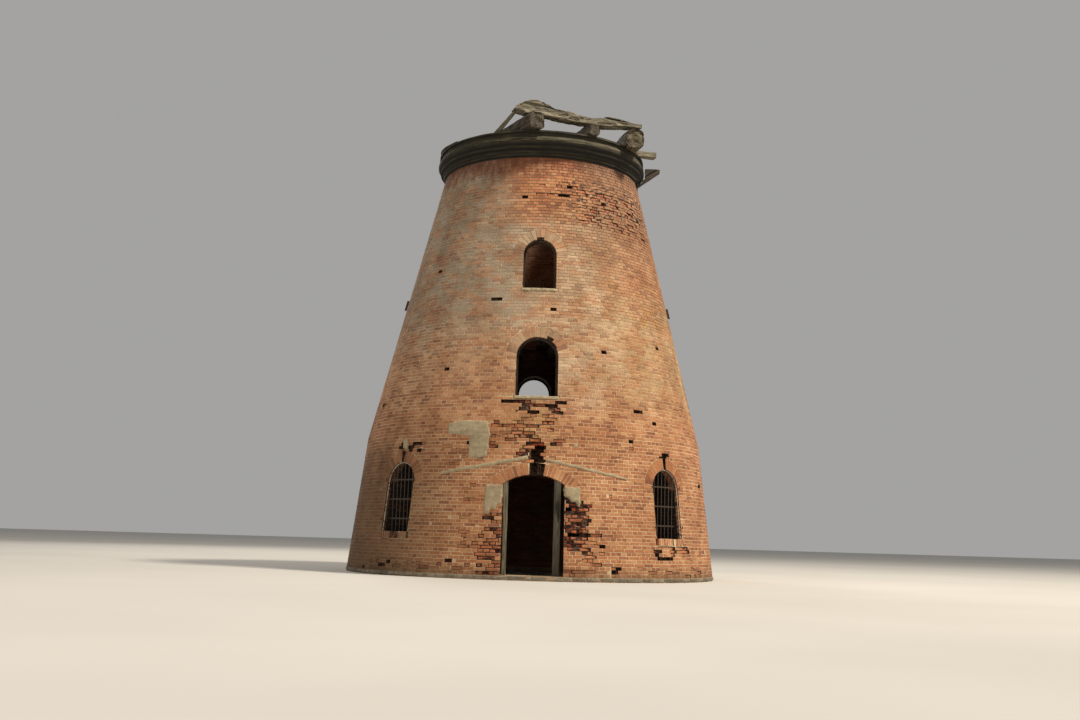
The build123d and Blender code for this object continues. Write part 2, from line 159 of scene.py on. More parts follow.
door = opening(0, 0.665, foot, 2.02, 0.215)
ground_windows = [opening(turn, 0.45, 0.955, 2.045, 0.45, 0.15) for turn in (45, 135, 225, 315)]
first_windows = [opening(turn, 0.465, 3.965, 4.86, 0.465, 0.07) for turn in (0, 180)]
second_windows = [opening(turn, 0.38, 6.5, 7.33, 0.38, 0.07) for turn in (0, 180)]
openings = {"ground": [door] + ground_windows, "first": first_windows, "second": second_windows}


def angle_between(azimuth, other):
    """How far one azimuth lies past another, from -180 to 180 degrees"""
    return (azimuth - other + 180) % 360 - 180


print("openings:", {storey: len(found) for storey, found in openings.items()})

# %% [markdown]
# ## One brick
# An old hand-moulded brick is 250 by 120 by 65 mm and lies in joints of 12 mm. Its arrises are
# worn, so each brick is a closed block with a narrow slope round its face. One brick could be
# copied round by an array, but then all would be alike and none could be cut beside a window, so
# a block is made from any convex outline.

# %% Outlines
def clip(outline, nx, nz, distance):
    """The part of a convex outline that lies beyond a line"""
    kept = []
    for (ax, az), (bx, bz) in zip(outline, outline[1:] + outline[:1]):
        a, b = ax * nx + az * nz - distance, bx * nx + bz * nz - distance
        if a >= 0:
            kept.append((ax, az))
        if a * b < 0:
            share = a / (a - b)
            kept.append((ax + (bx - ax) * share, az + (bz - az) * share))
    return kept


def area(outline):
    """Area inside an outline that runs anticlockwise"""
    pairs = zip(outline, outline[1:] + outline[:1])
    return sum(ax * bz - bx * az for (ax, az), (bx, bz) in pairs) / 2


def middle_of(outline):
    """The mean of an outline's corners"""
    return sum(p[0] for p in outline) / len(outline), sum(p[1] for p in outline) / len(outline)


def rectangle(left, right, low, high):
    """Corners of an upright rectangle, anticlockwise"""
    return [(left, low), (right, low), (right, high), (left, high)]


brick_length, brick_height = 0.25, 0.065
print("face of a brick:", round(area(rectangle(0, brick_length, 0, brick_height)), 5), "m2")

# %% Blocks from outlines on the wall
joint, brick_depth = 0.012, 0.11
random.seed(1873)


def block(azimuth, outline, front=0.0, back=brick_depth,
          arris=0.004, rough=0.0015, tone=None, wear_and_shade=0.0):
    """A brick: its outline across and up on the wall, the depths of its face and back, its look"""
    tone = random.random() if tone is None else tone
    return azimuth, outline, front, back, arris, rough, tone, wear_and_shade


def build_blocks(blocks):
    """Corners, faces, tone, and worn share and painted shade of many blocks, as lists for a mesh"""
    azimuths, across, heights, depths, faces, tones, wear_and_shade_values = [], [], [], [], [], [], []
    for azimuth, outline, front, back, arris, rough, tone, wear_and_shade in blocks:
        sides = len(outline)
        start = len(azimuths)
        middle_x, middle_z = middle_of(outline)
        lean_x, lean_z = random.gauss(0, rough * 8), random.gauss(0, rough * 12)
        shaken = [(x + random.gauss(0, rough), z + random.gauss(0, rough)) for x, z in outline]
        for ring in range(3):
            inset = arris if ring == 0 else 0.0
            for x, z in shaken:
                dx, dz = middle_x - x, middle_z - z
                reach = math.hypot(dx, dz) + 1e-6
                face = front + dx * lean_x + dz * lean_z
                if ring == 0:
                    face += random.gauss(0, rough) + (random.uniform(0, 0.02) if wear_and_shade > 0.5 else 0)
                across.append(x + inset * (dx / reach + math.copysign(0.6, dx)))
                heights.append(z + inset * (dz / reach + math.copysign(0.6, dz)))
                depths.append(back if ring == 2 else face + (arris if ring == 1 else 0))
        azimuths += [azimuth] * (3 * sides)
        tones += [tone] * (3 * sides)
        wear_and_shade_values += [wear_and_shade] * (3 * sides)
        for ring in (0, 1):
            for i in range(sides):
                j = (i + 1) % sides
                low, high = start + ring * sides, start + (ring + 1) * sides
                faces.append((low + j, low + i, high + i, high + j))
        faces.append(tuple(start + i for i in range(sides)))
        faces.append(tuple(start + 3 * sides - 1 - i for i in range(sides)))
    corners = on_wall(np.array(azimuths), np.array(across), np.array(heights), np.array(depths))
    return {"corners": corners, "faces": faces, "tone": tones, "wear_and_shade": wear_and_shade_values}


print("joint:", joint, "depth of a facing brick:", brick_depth)


# %% [markdown]
# ## Cutting bricks back to an opening
# A mason cuts bricks square at a jamb and slanting against the ring of an arch. The outline of a
# brick is therefore clipped in four bands: below the sill, beside it, beside the opening and
# beside the arch, where the cut follows the tangent of the ring. Cutting the finished wall with a
# boolean would leave slivers that no mason lays.

# %% Cut bricks
sill_overhang, ring_joint = 0.055, 0.008
least_area, least_height = 0.0009, 0.02


def cut_back(hole, outline):
    """The parts of a brick's outline that are left beside an opening"""
    parts = []
    side = 1 if sum(x for x, z in outline) > 0 else -1
    bands = (
        (-1.0, hole["sill_low"], None),
        (hole["sill_low"], hole["sill"], hole["half"] + sill_overhang),
        (hole["sill"], hole["springing"], hole["half"]),
        (hole["springing"], 99.0, "ring"),
    )
    for low, high, limit in bands:
        part = clip(clip(outline, 0, 1, low), 0, -1, -high)
        if len(part) > 2 and limit == "ring":
            radius = hole["radius"] + arch_height + ring_joint
            whole = part
            for _ in range(2):
                x, z = middle_of(part)
                z -= hole["centre"]
                reach = math.hypot(x, z)
                nx, nz = x / reach, z / reach
                part = clip(whole, nx, nz, radius + hole["centre"] * nz)
                if len(part) < 3:
                    break
        elif len(part) > 2 and limit is not None:
            part = clip(part, side, 0, limit)
        if len(part) > 2 and area(part) > least_area:
            if max(p[1] for p in part) - min(p[1] for p in part) > least_height:
                parts.append(part)
    return parts


across_the_jamb = rectangle(0.6, 0.85, 1.0, 1.065)
print("cut to:", cut_back(door, across_the_jamb), "from:", across_the_jamb)


# %% [markdown]
# ## Where the wall is damaged
# Rain, frost and hard use have worn the front. Each patch of damage is a box on the wall, in
# degrees and metres, with how likely a brick in it is to be broken, how deep it has gone, and how
# likely it is to be missing. Single missing bricks are given by a point. It could be sculpted by
# hand, but a table can be read, changed and run again.

# %% Damage
damage = [
    # azimuth from, to, height from, to, chance broken, least and most depth, chance missing
    (-14.6, -8.6, 0.1, 1.4, 0.85, 0.006, 0.045, 0.08),
    (-18.0, -14.6, 0.1, 1.0, 0.3, 0.004, 0.02, 0.02),
    (-20.0, -16.5, 0.3, 2.0, 0.35, 0.004, 0.012, 0.01),
    (8.4, 9.8, 0.78, 1.76, 1.0, 0.06, 0.1, 0.5),
    (9.4, 13.8, 0.6, 1.76, 1.0, 0.03, 0.08, 0.1),
    (13.0, 16.6, 0.42, 1.62, 1.0, 0.01, 0.05, 0.04),
    (14.0, 21.0, 0.3, 1.0, 0.35, 0.006, 0.03, 0.03),
    (-14.5, -3.0, 2.76, 3.42, 0.5, 0.006, 0.03, 0.02),
    (-3.2, 3.2, 2.88, 3.02, 1.0, 0.03, 0.09, 0.3),
    (-5.2, -1.0, 2.5, 2.9, 1.0, 0.015, 0.05, 0.03),
    (-6.0, 5.0, 3.02, 3.6, 0.6, 0.005, 0.04, 0.03),
    (5.0, 8.6, 2.78, 3.2, 0.25, 0.01, 0.04, 0.06),
    (-10.8, -7.0, 3.8, 3.9, 1.0, 0.06, 0.1, 0.9),
    (-7.0, 9.0, 3.8, 3.9, 0.5, 0.02, 0.1, 0.25),
    (-8.6, 10.4, 3.7, 3.8, 0.8, 0.01, 0.08, 0.22),
    (-6.4, 7.4, 3.55, 3.7, 0.6, 0.008, 0.06, 0.08),
    (-8.0, -6.6, 4.95, 5.06, 1.0, 0.05, 0.09, 0.8),
    (-47.0, -36.5, 2.62, 2.95, 0.6, 0.01, 0.05, 0.22),
    (43.5, 46.6, 2.74, 2.86, 1.0, 0.06, 0.1, 0.8),
    (-3.0, 22.0, 8.8, 9.25, 0.3, 0.005, 0.025, 0.02),
    (20.0, 64.0, 8.1, 9.05, 0.5, 0.006, 0.035, 0.02),
    (-28.0, -15.0, 2.4, 3.0, 0.3, 0.004, 0.015, 0.02),
    (38.0, 54.0, 0.45, 0.82, 0.45, 0.006, 0.04, 0.06),
    (-60.0, 62.0, 0.1, 0.34, 0.25, 0.004, 0.02, 0.03),
    (118.0, 150.0, 0.4, 1.6, 0.25, 0.006, 0.03, 0.03),
    (196.0, 214.0, 2.6, 3.4, 0.3, 0.006, 0.03, 0.04),
]
missing = [
    # azimuth, height
    (-23.5, 0.4), (23.5, 0.23), (20.5, 0.78), (-20.5, 2.9), (-44.5, 2.7), (-38.5, 2.87),
    (-41, 2.8), (30.8, 3.09), (34.5, 3.75), (42.4, 3.49), (5.4, 5.98), (-16.5, 6.21),
    (24.3, 5.05), (-33.0, 4.6), (52.0, 5.4), (-48.0, 7.1), (-8.0, 8.8), (70.0, 2.2),
    (-66.0, 3.9), (98.0, 4.4), (112.0, 1.1), (139.0, 6.3), (171.0, 2.7), (163.0, 8.1),
    (207.0, 4.9), (224.0, 7.6), (248.0, 1.9), (263.0, 5.6),
]
wall_hole = (-0.083, 0.207, 2.485, 2.9)  # left, right, low, high
jamb_hole = (0.78, 1.76)  # low, high


def state_of(azimuth, height):
    """Whether the brick at a place is whole, broken to a depth, or missing"""
    place = angle_between(azimuth, 0)
    depth, gone = 0.0, False
    for low, high, bottom, top, chance, least, most, lost in damage:
        across = place if low > -90 and high < 90 else azimuth % 360
        if low <= across <= high and bottom <= height <= top:
            if random.random() < lost:
                gone = True
            elif random.random() < chance:
                depth = max(depth, random.uniform(least, most))
    if depth == 0 and random.random() < 0.008:
        depth = random.uniform(0.004, 0.012)
    return depth, gone


print("patches of damage:", len(damage), "single missing bricks:", len(missing))

# %% [markdown]
# ## Laying the courses
# The courses follow English cross bond: a course of headers, a course of stretchers, and every
# second course of stretchers shifted by half a brick. Each ring of bricks goes right round the
# tower. It is laid brick by brick in a loop, so that each one gets its own length, tone and damage.
# A brick belongs to the bay that its middle lies in, so that neighbouring bays interlock.

# %% Storeys and bays
storeys = {"ground": (foot, knee, 40), "first": (knee, ledge, 34), "second": (ledge, wall_top, 52)}
quarters = ("front", "right", "back", "left")
eighths = ("front", "front_right", "right", "back_right", "back", "back_left", "left", "front_left")
bays = {"ground": eighths, "first": quarters, "second": quarters}
laid = {f"{storey}_wall_{side}": [] for storey in bays for side in bays[storey]}
pockets = {name: [] for name in laid}


def bay_at(storey, azimuth):
    """The name of the bay of a storey that an azimuth lies in"""
    sides = bays[storey]
    return f"{storey}_wall_{sides[round(azimuth / (360 / len(sides))) % len(sides)]}"


def near(hole, azimuth, height, reach):
    """Whether a brick can touch an opening or the ring of bricks over it"""
    if not hole["sill_low"] - 0.1 < height < hole["centre"] + hole["radius"] + arch_height + 0.1:
        return False
    across = math.radians(abs(angle_between(azimuth, hole["azimuth"]))) * face_radius(height)
    return across < hole["half"] + arch_height + 0.14 + reach


print("bays:", len(laid), "courses:", [courses for low, high, courses in storeys.values()])

# %% One brick in its place
broken_back, jamb_hole_depth = 0.13, 0.3


def lay_brick(storey, azimuth, half_angle, low, high):
    """Lays one brick, cut to any opening beside it, or leaves a pocket where it has fallen out"""
    name = bay_at(storey, azimuth)
    height = (low + high) / 2
    radius = float(face_radius(height))
    half = radius * math.sin(math.radians(half_angle))
    line, parts = azimuth, [rectangle(-half, half, low, high)]
    for hole in openings[storey]:
        if near(hole, azimuth, height, half):
            line = hole["azimuth"]
            turn = angle_between(azimuth, line)
            ends = [radius * math.sin(math.radians(turn + s * half_angle)) for s in (-1, 1)]
            parts = cut_back(hole, rectangle(*ends, low, high))
    depth, gone = state_of(azimuth, height)
    for at, z in missing:
        if abs(angle_between(azimuth, at)) < half_angle and low <= z <= high + joint:
            gone = True
    tone = random.random()
    for part in parts:
        x, z = middle_of(part)
        x += radius * math.sin(math.radians(angle_between(line, 0)))
        if name == "ground_wall_front" and wall_hole[0] < x < wall_hole[1]:
            if wall_hole[2] - 0.02 < z < wall_hole[3]:
                continue
        if gone:
            in_jamb = line == 0 and 0 < x < 1 and jamb_hole[0] < z < jamb_hole[1]
            pockets[name].append((line, part, jamb_hole_depth if in_jamb else 0.1 + 0.02 * tone))
        elif depth > 0.003:
            pockets[name].append((line, part, depth + 0.006))
            arris, rough = min(0.013, 0.004 + 0.25 * depth), min(0.005, 0.0015 + 0.08 * depth)
            wear_and_shade = min(1.0, depth * 14)
            laid[name].append(block(line, part, depth, broken_back, arris, rough, tone, wear_and_shade))
        else:
            laid[name].append(block(line, part, arris=0.0035, rough=0.0012, tone=tone))


print("a broken brick reaches back", broken_back, "m")

# %% Rings of bricks
header = 0.132
course_number = 0
for storey, (low, high, courses) in storeys.items():
    module = (high - low) / courses
    for course in range(courses):
        bottom = low + course * module + joint / 2
        top = bottom + module - joint
        radius = float(face_radius(bottom))
        headers = 2 * round(math.pi * radius / header)
        size = 1 if course_number % 2 == 0 else 2
        shift = (0, 0.5, 0, 1.5)[course_number % 4] + course * 0.013
        wave = random.uniform(-0.0015, 0.0015)
        ends = [(shift + i * size + random.uniform(-0.03, 0.03)) * 360 / headers
                for i in range(headers // size)]
        gap = math.degrees(joint / 2 / radius)
        for left, right in zip(ends, ends[1:] + [ends[0] + 360]):
            middle, half_angle = (left + right) / 2, (right - left) / 2 - gap
            lay_brick(storey, middle, half_angle, bottom + wave, top + wave)
        course_number += 1
print("bricks:", sum(map(len, laid.values())), "pockets:", sum(map(len, pockets.values())))

# %% [markdown]
# ## The sides of the openings
# Through a doorway the whole thickness of the wall shows, so the jambs are lined with the ends and
# sides of bricks in every course, alternately long and short as the bond turns the corner. Their
# shade is painted on them as near black. On the right of the door their outer ends have been
# knocked out. A flat jamb with a brick pattern would look right from far off, but has no such ends.

# %% Jambs
for storey, (low, high, courses) in storeys.items():
    module = (high - low) / courses
    for hole in openings[storey]:
        name = bay_at(storey, hole["azimuth"])
        for course in range(courses):
            bottom = max(low + course * module + joint / 2, hole["sill"])
            top = min(low + (course + 1) * module - joint / 2, hole["springing"])
            if top - bottom < least_height:
                continue
            beside_hole = hole is door and jamb_hole[0] < bottom < jamb_hole[1]
            for side in (-1, 1):
                start = brick_depth + joint
                lengths = [brick_length] * 4 if course % 2 else [0.12] + [brick_length] * 4
                for length in lengths:
                    end = min(start + length, thickness[storey] - 0.004)
                    knocked_out = beside_hole and side > 0 and start < jamb_hole_depth
                    if end - start > 0.03 and not knocked_out:
                        edges = sorted((side * hole["half"], side * (hole["half"] + 0.1)))
                        worn = random.uniform(0, 0.004) * side
                        outline = rectangle(edges[0] + worn, edges[1] + worn, bottom, top)
                        # Jamb bricks get the value -1, which their finish paints near black as shade
                        laid[name].append(
                            block(hole["azimuth"], outline, start, end, 0.001, 0.0012, wear_and_shade=-1.0))
                    start = end + joint
print("bricks with the jambs:", sum(map(len, laid.values())))

# %% [markdown]
# ## The mortar body of the wall
# Behind the bricks each bay is one mass of masonry. Mortar could be laid as strips between the
# bricks, but one body closes every joint at once and gives the wall its thickness. It starts from
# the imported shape, whose outer face, jambs and arch undersides are drawn back by the depth of the
# worn joints, which rain has washed out deeper the higher they lie. Where bricks are gone, their
# pockets are cut from it. The cuts show raw core, and the inner face has a finish of its own.

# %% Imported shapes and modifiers
joint_depth = {"ground": 0.004, "first": 0.006, "second": 0.01}


def plain_shape(node):
    """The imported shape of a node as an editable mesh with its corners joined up"""
    shape = bmesh.new()
    shape.from_mesh(cad[node].data)
    bmesh.ops.remove_doubles(shape, verts=shape.verts, dist=1e-5)
    return shape


def as_mesh(shape, name):
    """An editable mesh turned into a plain one"""
    mesh = bpy.data.meshes.new(name)
    shape.to_mesh(mesh)
    shape.free()
    return mesh


def modified(mesh, kind, **settings):
    """What one modifier makes of a mesh"""
    body = bpy.data.objects.new("body_at_work", mesh)
    bpy.context.scene.collection.objects.link(body)
    modifier = body.modifiers.new("work", kind)
    for name, value in settings.items():
        setattr(modifier, name, value)
    graph = bpy.context.evaluated_depsgraph_get()
    result = bpy.data.meshes.new_from_object(body.evaluated_get(graph))
    bpy.data.objects.remove(body)
    return result


def carve(mesh, cutter):
    """The first closed mesh with the second one cut away"""
    tool = bpy.data.objects.new("carving_tool", cutter)
    bpy.context.scene.collection.objects.link(tool)
    result = modified(mesh, "BOOLEAN", operation="DIFFERENCE", object=tool, solver="EXACT",
                      use_self=True)
    bpy.data.objects.remove(tool)
    return result


print("joint depths:", joint_depth)

# %% Surfaces drawn back behind the bricks
def on_wall_line(azimuth, across, out):
    """A level point from its distances across and out"""
    angle = math.radians(azimuth)
    x = out * math.sin(angle) + across * math.cos(angle)
    return x, -out * math.cos(angle) + across * math.sin(angle), 0.0


def draw_back(shape, holes, proud, by):
    """Moves the outer face, the jambs and the undersides of the arches back behind the bricks"""
    for corner in shape.verts:
        p = corner.co
        radius = math.hypot(p.x, p.y)
        if radius > face_radius(p.z) + proud - 0.002:
            share = (radius - by) / radius
            p.x, p.y = p.x * share, p.y * share
        for hole in holes:
            across, out = seen_from(hole["azimuth"], p)
            if out < 0 or not hole["sill"] - 0.001 < p.z:
                continue
            if p.z < hole["springing"] + 0.001:
                if abs(abs(across) - hole["half"]) < 0.0015:
                    across += math.copysign(by, across)
            rise = p.z - hole["centre"]
            reach = math.hypot(across, rise)
            if p.z > hole["springing"] - 0.001 and abs(reach - hole["radius"]) < 0.003:
                across *= 1 + by / reach
                p.z += rise * by / reach
            x, y, _ = on_wall_line(hole["azimuth"], across, out)
            p.x, p.y = x, y


def grown(outline, amount):
    """A convex outline with its corners moved away from its middle"""
    x, z = middle_of(outline)
    return [(px + math.copysign(amount, px - x), pz + math.copysign(amount, pz - z))
            for px, pz in outline]


wider = grown(rectangle(0, brick_length, 0, brick_height), joint)
print("a brick and its joints:", round(area(wider), 5), "m2")

# %% Mortar bodies
faced, jointed, lined, broken_open = range(4)


def mortar_body(node, holes, by, cuts=(), proud=0.0, wall=None):
    """A bay's mass of mortar and core, as lists of corners and faces with a finish for each face"""
    shape = plain_shape(node)
    draw_back(shape, holes, proud, by)
    mesh = as_mesh(shape, node + "_body")
    if cuts:
        tool = build_blocks([block(line, grown(part, 0.008), -0.05, depth, 0.0, 0.0)
                             for line, part, depth in cuts])
        cutter = bpy.data.meshes.new(node + "_pockets")
        cutter.from_pydata(tool["corners"].tolist(), [], tool["faces"])
        mesh = carve(mesh, cutter)
    corners = np.array([v.co[:] for v in mesh.vertices])
    faces = [tuple(p.vertices) for p in mesh.polygons]
    finish = []
    for face in mesh.polygons:
        middle = face.center
        depth = float(face_radius(middle.z)) - math.hypot(middle.x, middle.y)
        if wall and depth > wall - 0.02 and abs(face.normal.z) < 0.5:
            finish.append(lined)
        else:
            finish.append(broken_open if depth > by + 0.01 else jointed)
    return {"corners": corners, "faces": faces, "finish": finish}


print("finish numbers: brick", faced, "mortar", jointed, "inner", lined, "core", broken_open)

# %% [markdown]
# ## Finishes
# Every finish is worked out from patterns, in metres, on the piece's own place in the frame. A
# picture could be wrapped round each piece, but a pattern needs no unwrapping and has no seams.
# One function adds a node together with its settings and links. Colours are given as the hex codes
# that one would pick on a screen, and another function turns them to linear light.

# %% Shader helpers
def paint(code):
    """A linear colour for a shader from a hex code"""
    shares = [int(code[i : i + 2], 16) / 255 for i in (1, 3, 5)]
    linear = [s / 12.92 if s <= 0.04045 else ((s + 0.055) / 1.055) ** 2.4 for s in shares]
    return (*linear, 1.0)


def add(tree, kind, inputs=(), result=0, stops=(), **settings):
    """Adds a shader node with its settings, links or sets its inputs, and gives one result"""
    made = tree.nodes.new("ShaderNode" + kind)
    for name, value in settings.items():
        setattr(made, name, value)
    for socket, value in inputs.items() if isinstance(inputs, dict) else enumerate(inputs):
        if isinstance(value, bpy.types.NodeSocket):
            tree.links.new(value, made.inputs[socket])
        else:
            made.inputs[socket].default_value = paint(value) if isinstance(value, str) else value
    for _ in stops[2:]:
        made.color_ramp.elements.new(0.5)
    for i, (place, code) in enumerate(stops):
        element = made.color_ramp.elements[i]
        element.position, element.color = place, paint(code)
    return made.outputs[result]


print("mortar white in linear light:", [round(share, 3) for share in paint("#D9C09A")])

# %% [markdown]
# Most of the age on this mill is stains: a colour that lies over another where it is high enough,
# far enough round or in the thick of a cloudy pattern. A zone is such a place, made by multiplying
# soft edges, and a stain is a colour laid over another in a zone.

# %% Patterns, zones and stains
def clouds(tree, place, size, detail=3.0, stretch=(1, 1, 1)):
    """A cloudy pattern whose patches are about a size in metres"""
    spread = add(tree, "Mapping", {"Vector": place, "Scale": stretch})
    inputs = {"Vector": spread, "Scale": 1 / size, "Detail": detail, "Roughness": 0.55}
    return add(tree, "TexNoise", inputs, "Fac")


def zone(tree, strength, *edges):
    """Where all edges overlap: each is a mask, or a value and the limits that it fades between"""
    for edge in edges:
        if isinstance(edge, tuple):
            edge = add(tree, "MapRange", edge, interpolation_type="SMOOTHSTEP")
        strength = add(tree, "Math", (strength, edge), operation="MULTIPLY")
    return strength


def stain(tree, colour, over, strength, *edges):
    """A colour with another one laid over it in a zone"""
    mask = zone(tree, strength, *edges)
    return add(tree, "Mix", {0: mask, 6: colour, 7: over}, 2, data_type="RGBA")


dull_ior = 1.5


def new_finish(name, roughness, metallic=0.0):
    """A material with one surface shader, and the place in the frame as a vector"""
    made = bpy.data.materials.new(name)
    made.use_nodes = True
    surface = made.node_tree.nodes["Principled BSDF"].inputs
    surface["Roughness"].default_value = roughness
    surface["IOR"].default_value = dull_ior
    surface["Metallic"].default_value = metallic
    print("finish:", name, "roughness", roughness)
    return made, made.node_tree, add(made.node_tree, "TexCoord", result="Object")


def dress(tree, colour, relief=None, height=0.0):
    """Gives a surface its colour, and a relief whose real height is in metres"""
    surface = tree.nodes["Principled BSDF"].inputs
    tree.links.new(colour, surface["Base Color"])
    if relief is not None:
        bump = add(tree, "Bump", {"Height": relief, "Distance": height, "Strength": 1.0})
        tree.links.new(bump, surface["Normal"])


# %% [markdown]
# Weather has touched brick and mortar alike, so it is one function that both finishes use. A film
# of grey-green lichen lies over the middle of the tower, and over its whole left side. The foot and
# the lower left are dark with dirt and moss. Between them the front and the sunny upper right are
# washed clean. White salts run down in drips, and under the cornice the wall has a redder tint with
# painted shadow over it. A painted picture could hold all this, but patterns need none and never
# repeat round the tower.

# %% Weather on the masonry
def weather(tree, place, colour, tone, share=1.0):
    """Dirt, lichen and streaks over the colour of a masonry surface"""
    x, _, z = add(tree, "SeparateXYZ", [place]).node.outputs
    patches, fine = clouds(tree, place, 0.7, 4), clouds(tree, place, 0.09, 3)
    across = add(tree, "Math", (patches, -1.2, x), operation="MULTIPLY_ADD")
    height = add(tree, "Math", (patches, 1.6, z), operation="MULTIPLY_ADD")
    above, right = (height, 3.9, 5.4), (across, 0.3, 1.6)
    shady, high = (across, -0.2, -1.6), (height, 5.4, 7.2)

    # The film of lichen: thin where rain washes the wall clean, thick high on the shady side
    washed = add(tree, "Math", (
        zone(tree, 1.0, right, (height, 7.0, 7.8)),
        zone(tree, 1.0, (across, -1.9, -0.9), (height, 8.7, 9.4)),
    ), operation="MAXIMUM")
    unwashed = add(tree, "Math", (1.0, washed), operation="SUBTRACT")
    rise = add(tree, "Math", (zone(tree, 1.0, high), 0.58, -0.3), operation="MULTIPLY_ADD")
    thick = add(tree, "Math", (zone(tree, 1.0, shady), rise, 0.54), operation="MULTIPLY_ADD")
    flecks = clouds(tree, place, 0.5, 4, (1, 1, 1.8))
    clusters = add(tree, "Math", (tone, 0.07, flecks), operation="MULTIPLY_ADD")
    patchy = (clusters, 0.47, 0.58, 0.42, 1.0)
    pale = add(tree, "ValToRGB", [tone],
               stops=((0.0, "#A0967E"), (0.5, "#AFA58B"), (1.0, "#BEB399")))
    drab = stain(tree, pale, "#968C79", 0.8, shady, high)
    lichen = stain(tree, drab, "#A08E5E", 0.6, right)
    colour = stain(tree, colour, lichen, share, above, unwashed, patchy, thick)

    # Dirt at the lower left, ochre lichen on the right, lime over the door, soil at the foot
    colour = stain(tree, colour, "#4A3A24", 0.75, (across, -1.6, -4.2), (height, 5.2, 2.6))
    golden = (clouds(tree, place, 0.22, 3), 0.56, 0.66)
    colour = stain(tree, colour, "#B58A3C", 0.45, right, above, (height, 8.4, 7.6), golden)
    over_door = add(tree, "VectorMath", (place, (-0.1, -4.05, 3.36)), "Value", operation="DISTANCE")
    colour = stain(tree, colour, "#A88F58", 0.5, (over_door, 0.8, 0.3), (fine, 0.4, 0.6))
    low = add(tree, "Math", (fine, 0.5, z), operation="MULTIPLY_ADD")
    colour = stain(tree, colour, "#5C4A35", 0.6, (low, 0.7, 0.25))

    # White drips, a red tint with painted shadow under the cornice, and a dull, crusted upper right
    streaks = clouds(tree, place, 0.1, 3, (1, 1, 0.06))
    colour = stain(tree, colour, "#D8C6AA", 0.6, (streaks, 0.66, 0.74), (z, 7.3, 7.9),
                   (z, 9.4, 9.0), (x, 0.0, 0.4))
    under = add(tree, "Math", (streaks, 1.2, z), operation="MULTIPLY_ADD")
    colour = stain(tree, colour, "#66301C", 0.8, (under, 9.7, 10.5))
    colour = stain(tree, colour, "#756C5A", 0.36, (across, -0.3, 1.0), (z, 5.6, 8.2))
    flakes = clouds(tree, place, 0.1, 3, (1, 1, 2.2))
    blots = add(tree, "Math", (patches, 0.3, flakes), operation="MULTIPLY_ADD")
    colour = stain(tree, colour, "#2A2018", 0.85, (blots, 0.67, 0.76), (z, 7.9, 8.5),
                   (z, 9.5, 9.2), (x, 0.1, 0.9))
    shade = stain(tree, "#DDD2C8", "#FFFFFF", 1.0, (patches, 0.3, 0.7))
    return add(tree, "Mix", {0: 1.0, 6: colour, 7: shade}, 2, data_type="RGBA",
               blend_type="MULTIPLY")


print("the dark under the cornice starts", round(wall_top - 9.7, 2), "m below the wall's top")


# %% [markdown]
# The facing brick is soft hand-moulded clay, fired in a field kiln: red-brown, with a few bricks
# burnt darker or sandier than the rest. Wind has sanded its face: fully rough, with small pits.
# Where a brick has broken, its raw inside is a stronger red than the weathered skin. The jambs of
# the openings and the backs of their arches get painted shade, near black. Each kind could be a
# finish of its own, but one finish that reads a tone and a value of wear and painted shade from
# every brick lets no two of them be quite alike.

# %% Finish: weathered facing brick
brick, tree, place = new_finish("weathered_hand_moulded_brick", 0.92)
tone = add(tree, "Attribute", result="Fac", attribute_name="tone")
wear_and_shade = add(tree, "Attribute", result="Fac", attribute_name="wear_and_shade")
mottle = clouds(tree, place, 0.035, 3)
skin = add(tree, "ValToRGB", [tone], stops=(
    (0.0, "#82492F"), (0.12, "#9A5D3C"), (0.5, "#AE7047"), (0.88, "#B77F55"), (1.0, "#C29067")))
skin = stain(tree, skin, "#CDA97F", 0.3, (mottle, 0.35, 0.75))
skin = weather(tree, place, skin, tone)
raw = add(tree, "ValToRGB", [mottle],
          stops=((0.25, "#782E18"), (0.5, "#B04727"), (0.8, "#D56B40")))
worn = stain(tree, skin, raw, 1.0, (wear_and_shade, 0.1, 1.0))
# Below zero the value paints shade: jamb and arch reveal bricks go near black
reveal_painted_shade = stain(tree, worn, "#19130F", 1.0, (wear_and_shade, 0.0, -1.0))
pits = clouds(tree, place, 0.012, 4)
dress(tree, reveal_painted_shade, add(tree, "Math", (mottle, 1.5, pits), operation="MULTIPLY_ADD"), 0.004)

# %% [markdown]
# The mortar is lime and coarse sand, struck flush with the brick. It dries almost white, with dust
# and dark grains in it, and it draws pale lines between the red courses. On the damp left side it
# has gone grey, and high up on the right olive-brown, where the courses are dark lines. Lime takes
# up stains of its own, so these are laid on it before the weather that it shares with the brick.

# %% Finish: lime mortar
mortar, tree, place = new_finish("sandy_lime_mortar", 0.95)
tone = add(tree, "Attribute", result="Fac", attribute_name="tone")
x, _, z = add(tree, "SeparateXYZ", [place]).node.outputs
sand = clouds(tree, place, 0.02, 4)
pale = add(tree, "ValToRGB", [sand],
           stops=((0.25, "#AD9674"), (0.5, "#D9C09A"), (0.75, "#E9D5B3")))
greyed = stain(tree, pale, "#DDD2BA", 0.8, (x, 0.9, -0.6), (z, 4.8, 6.6))
aged = stain(tree, greyed, "#6E5F46", 0.75, (z, 7.0, 8.6), (x, -1.3, 0.0))
dress(tree, weather(tree, place, aged, tone, 0.3), sand, 0.004)

# %% [markdown]
# Where bricks have gone, the heart of the wall shows: broken brick and mortar, unweathered and
# deep red-brown. Little light reaches it, so painted shade makes it darker than the face. The lumps
# could be modelled, but in such small pockets cells of a random colour are enough.

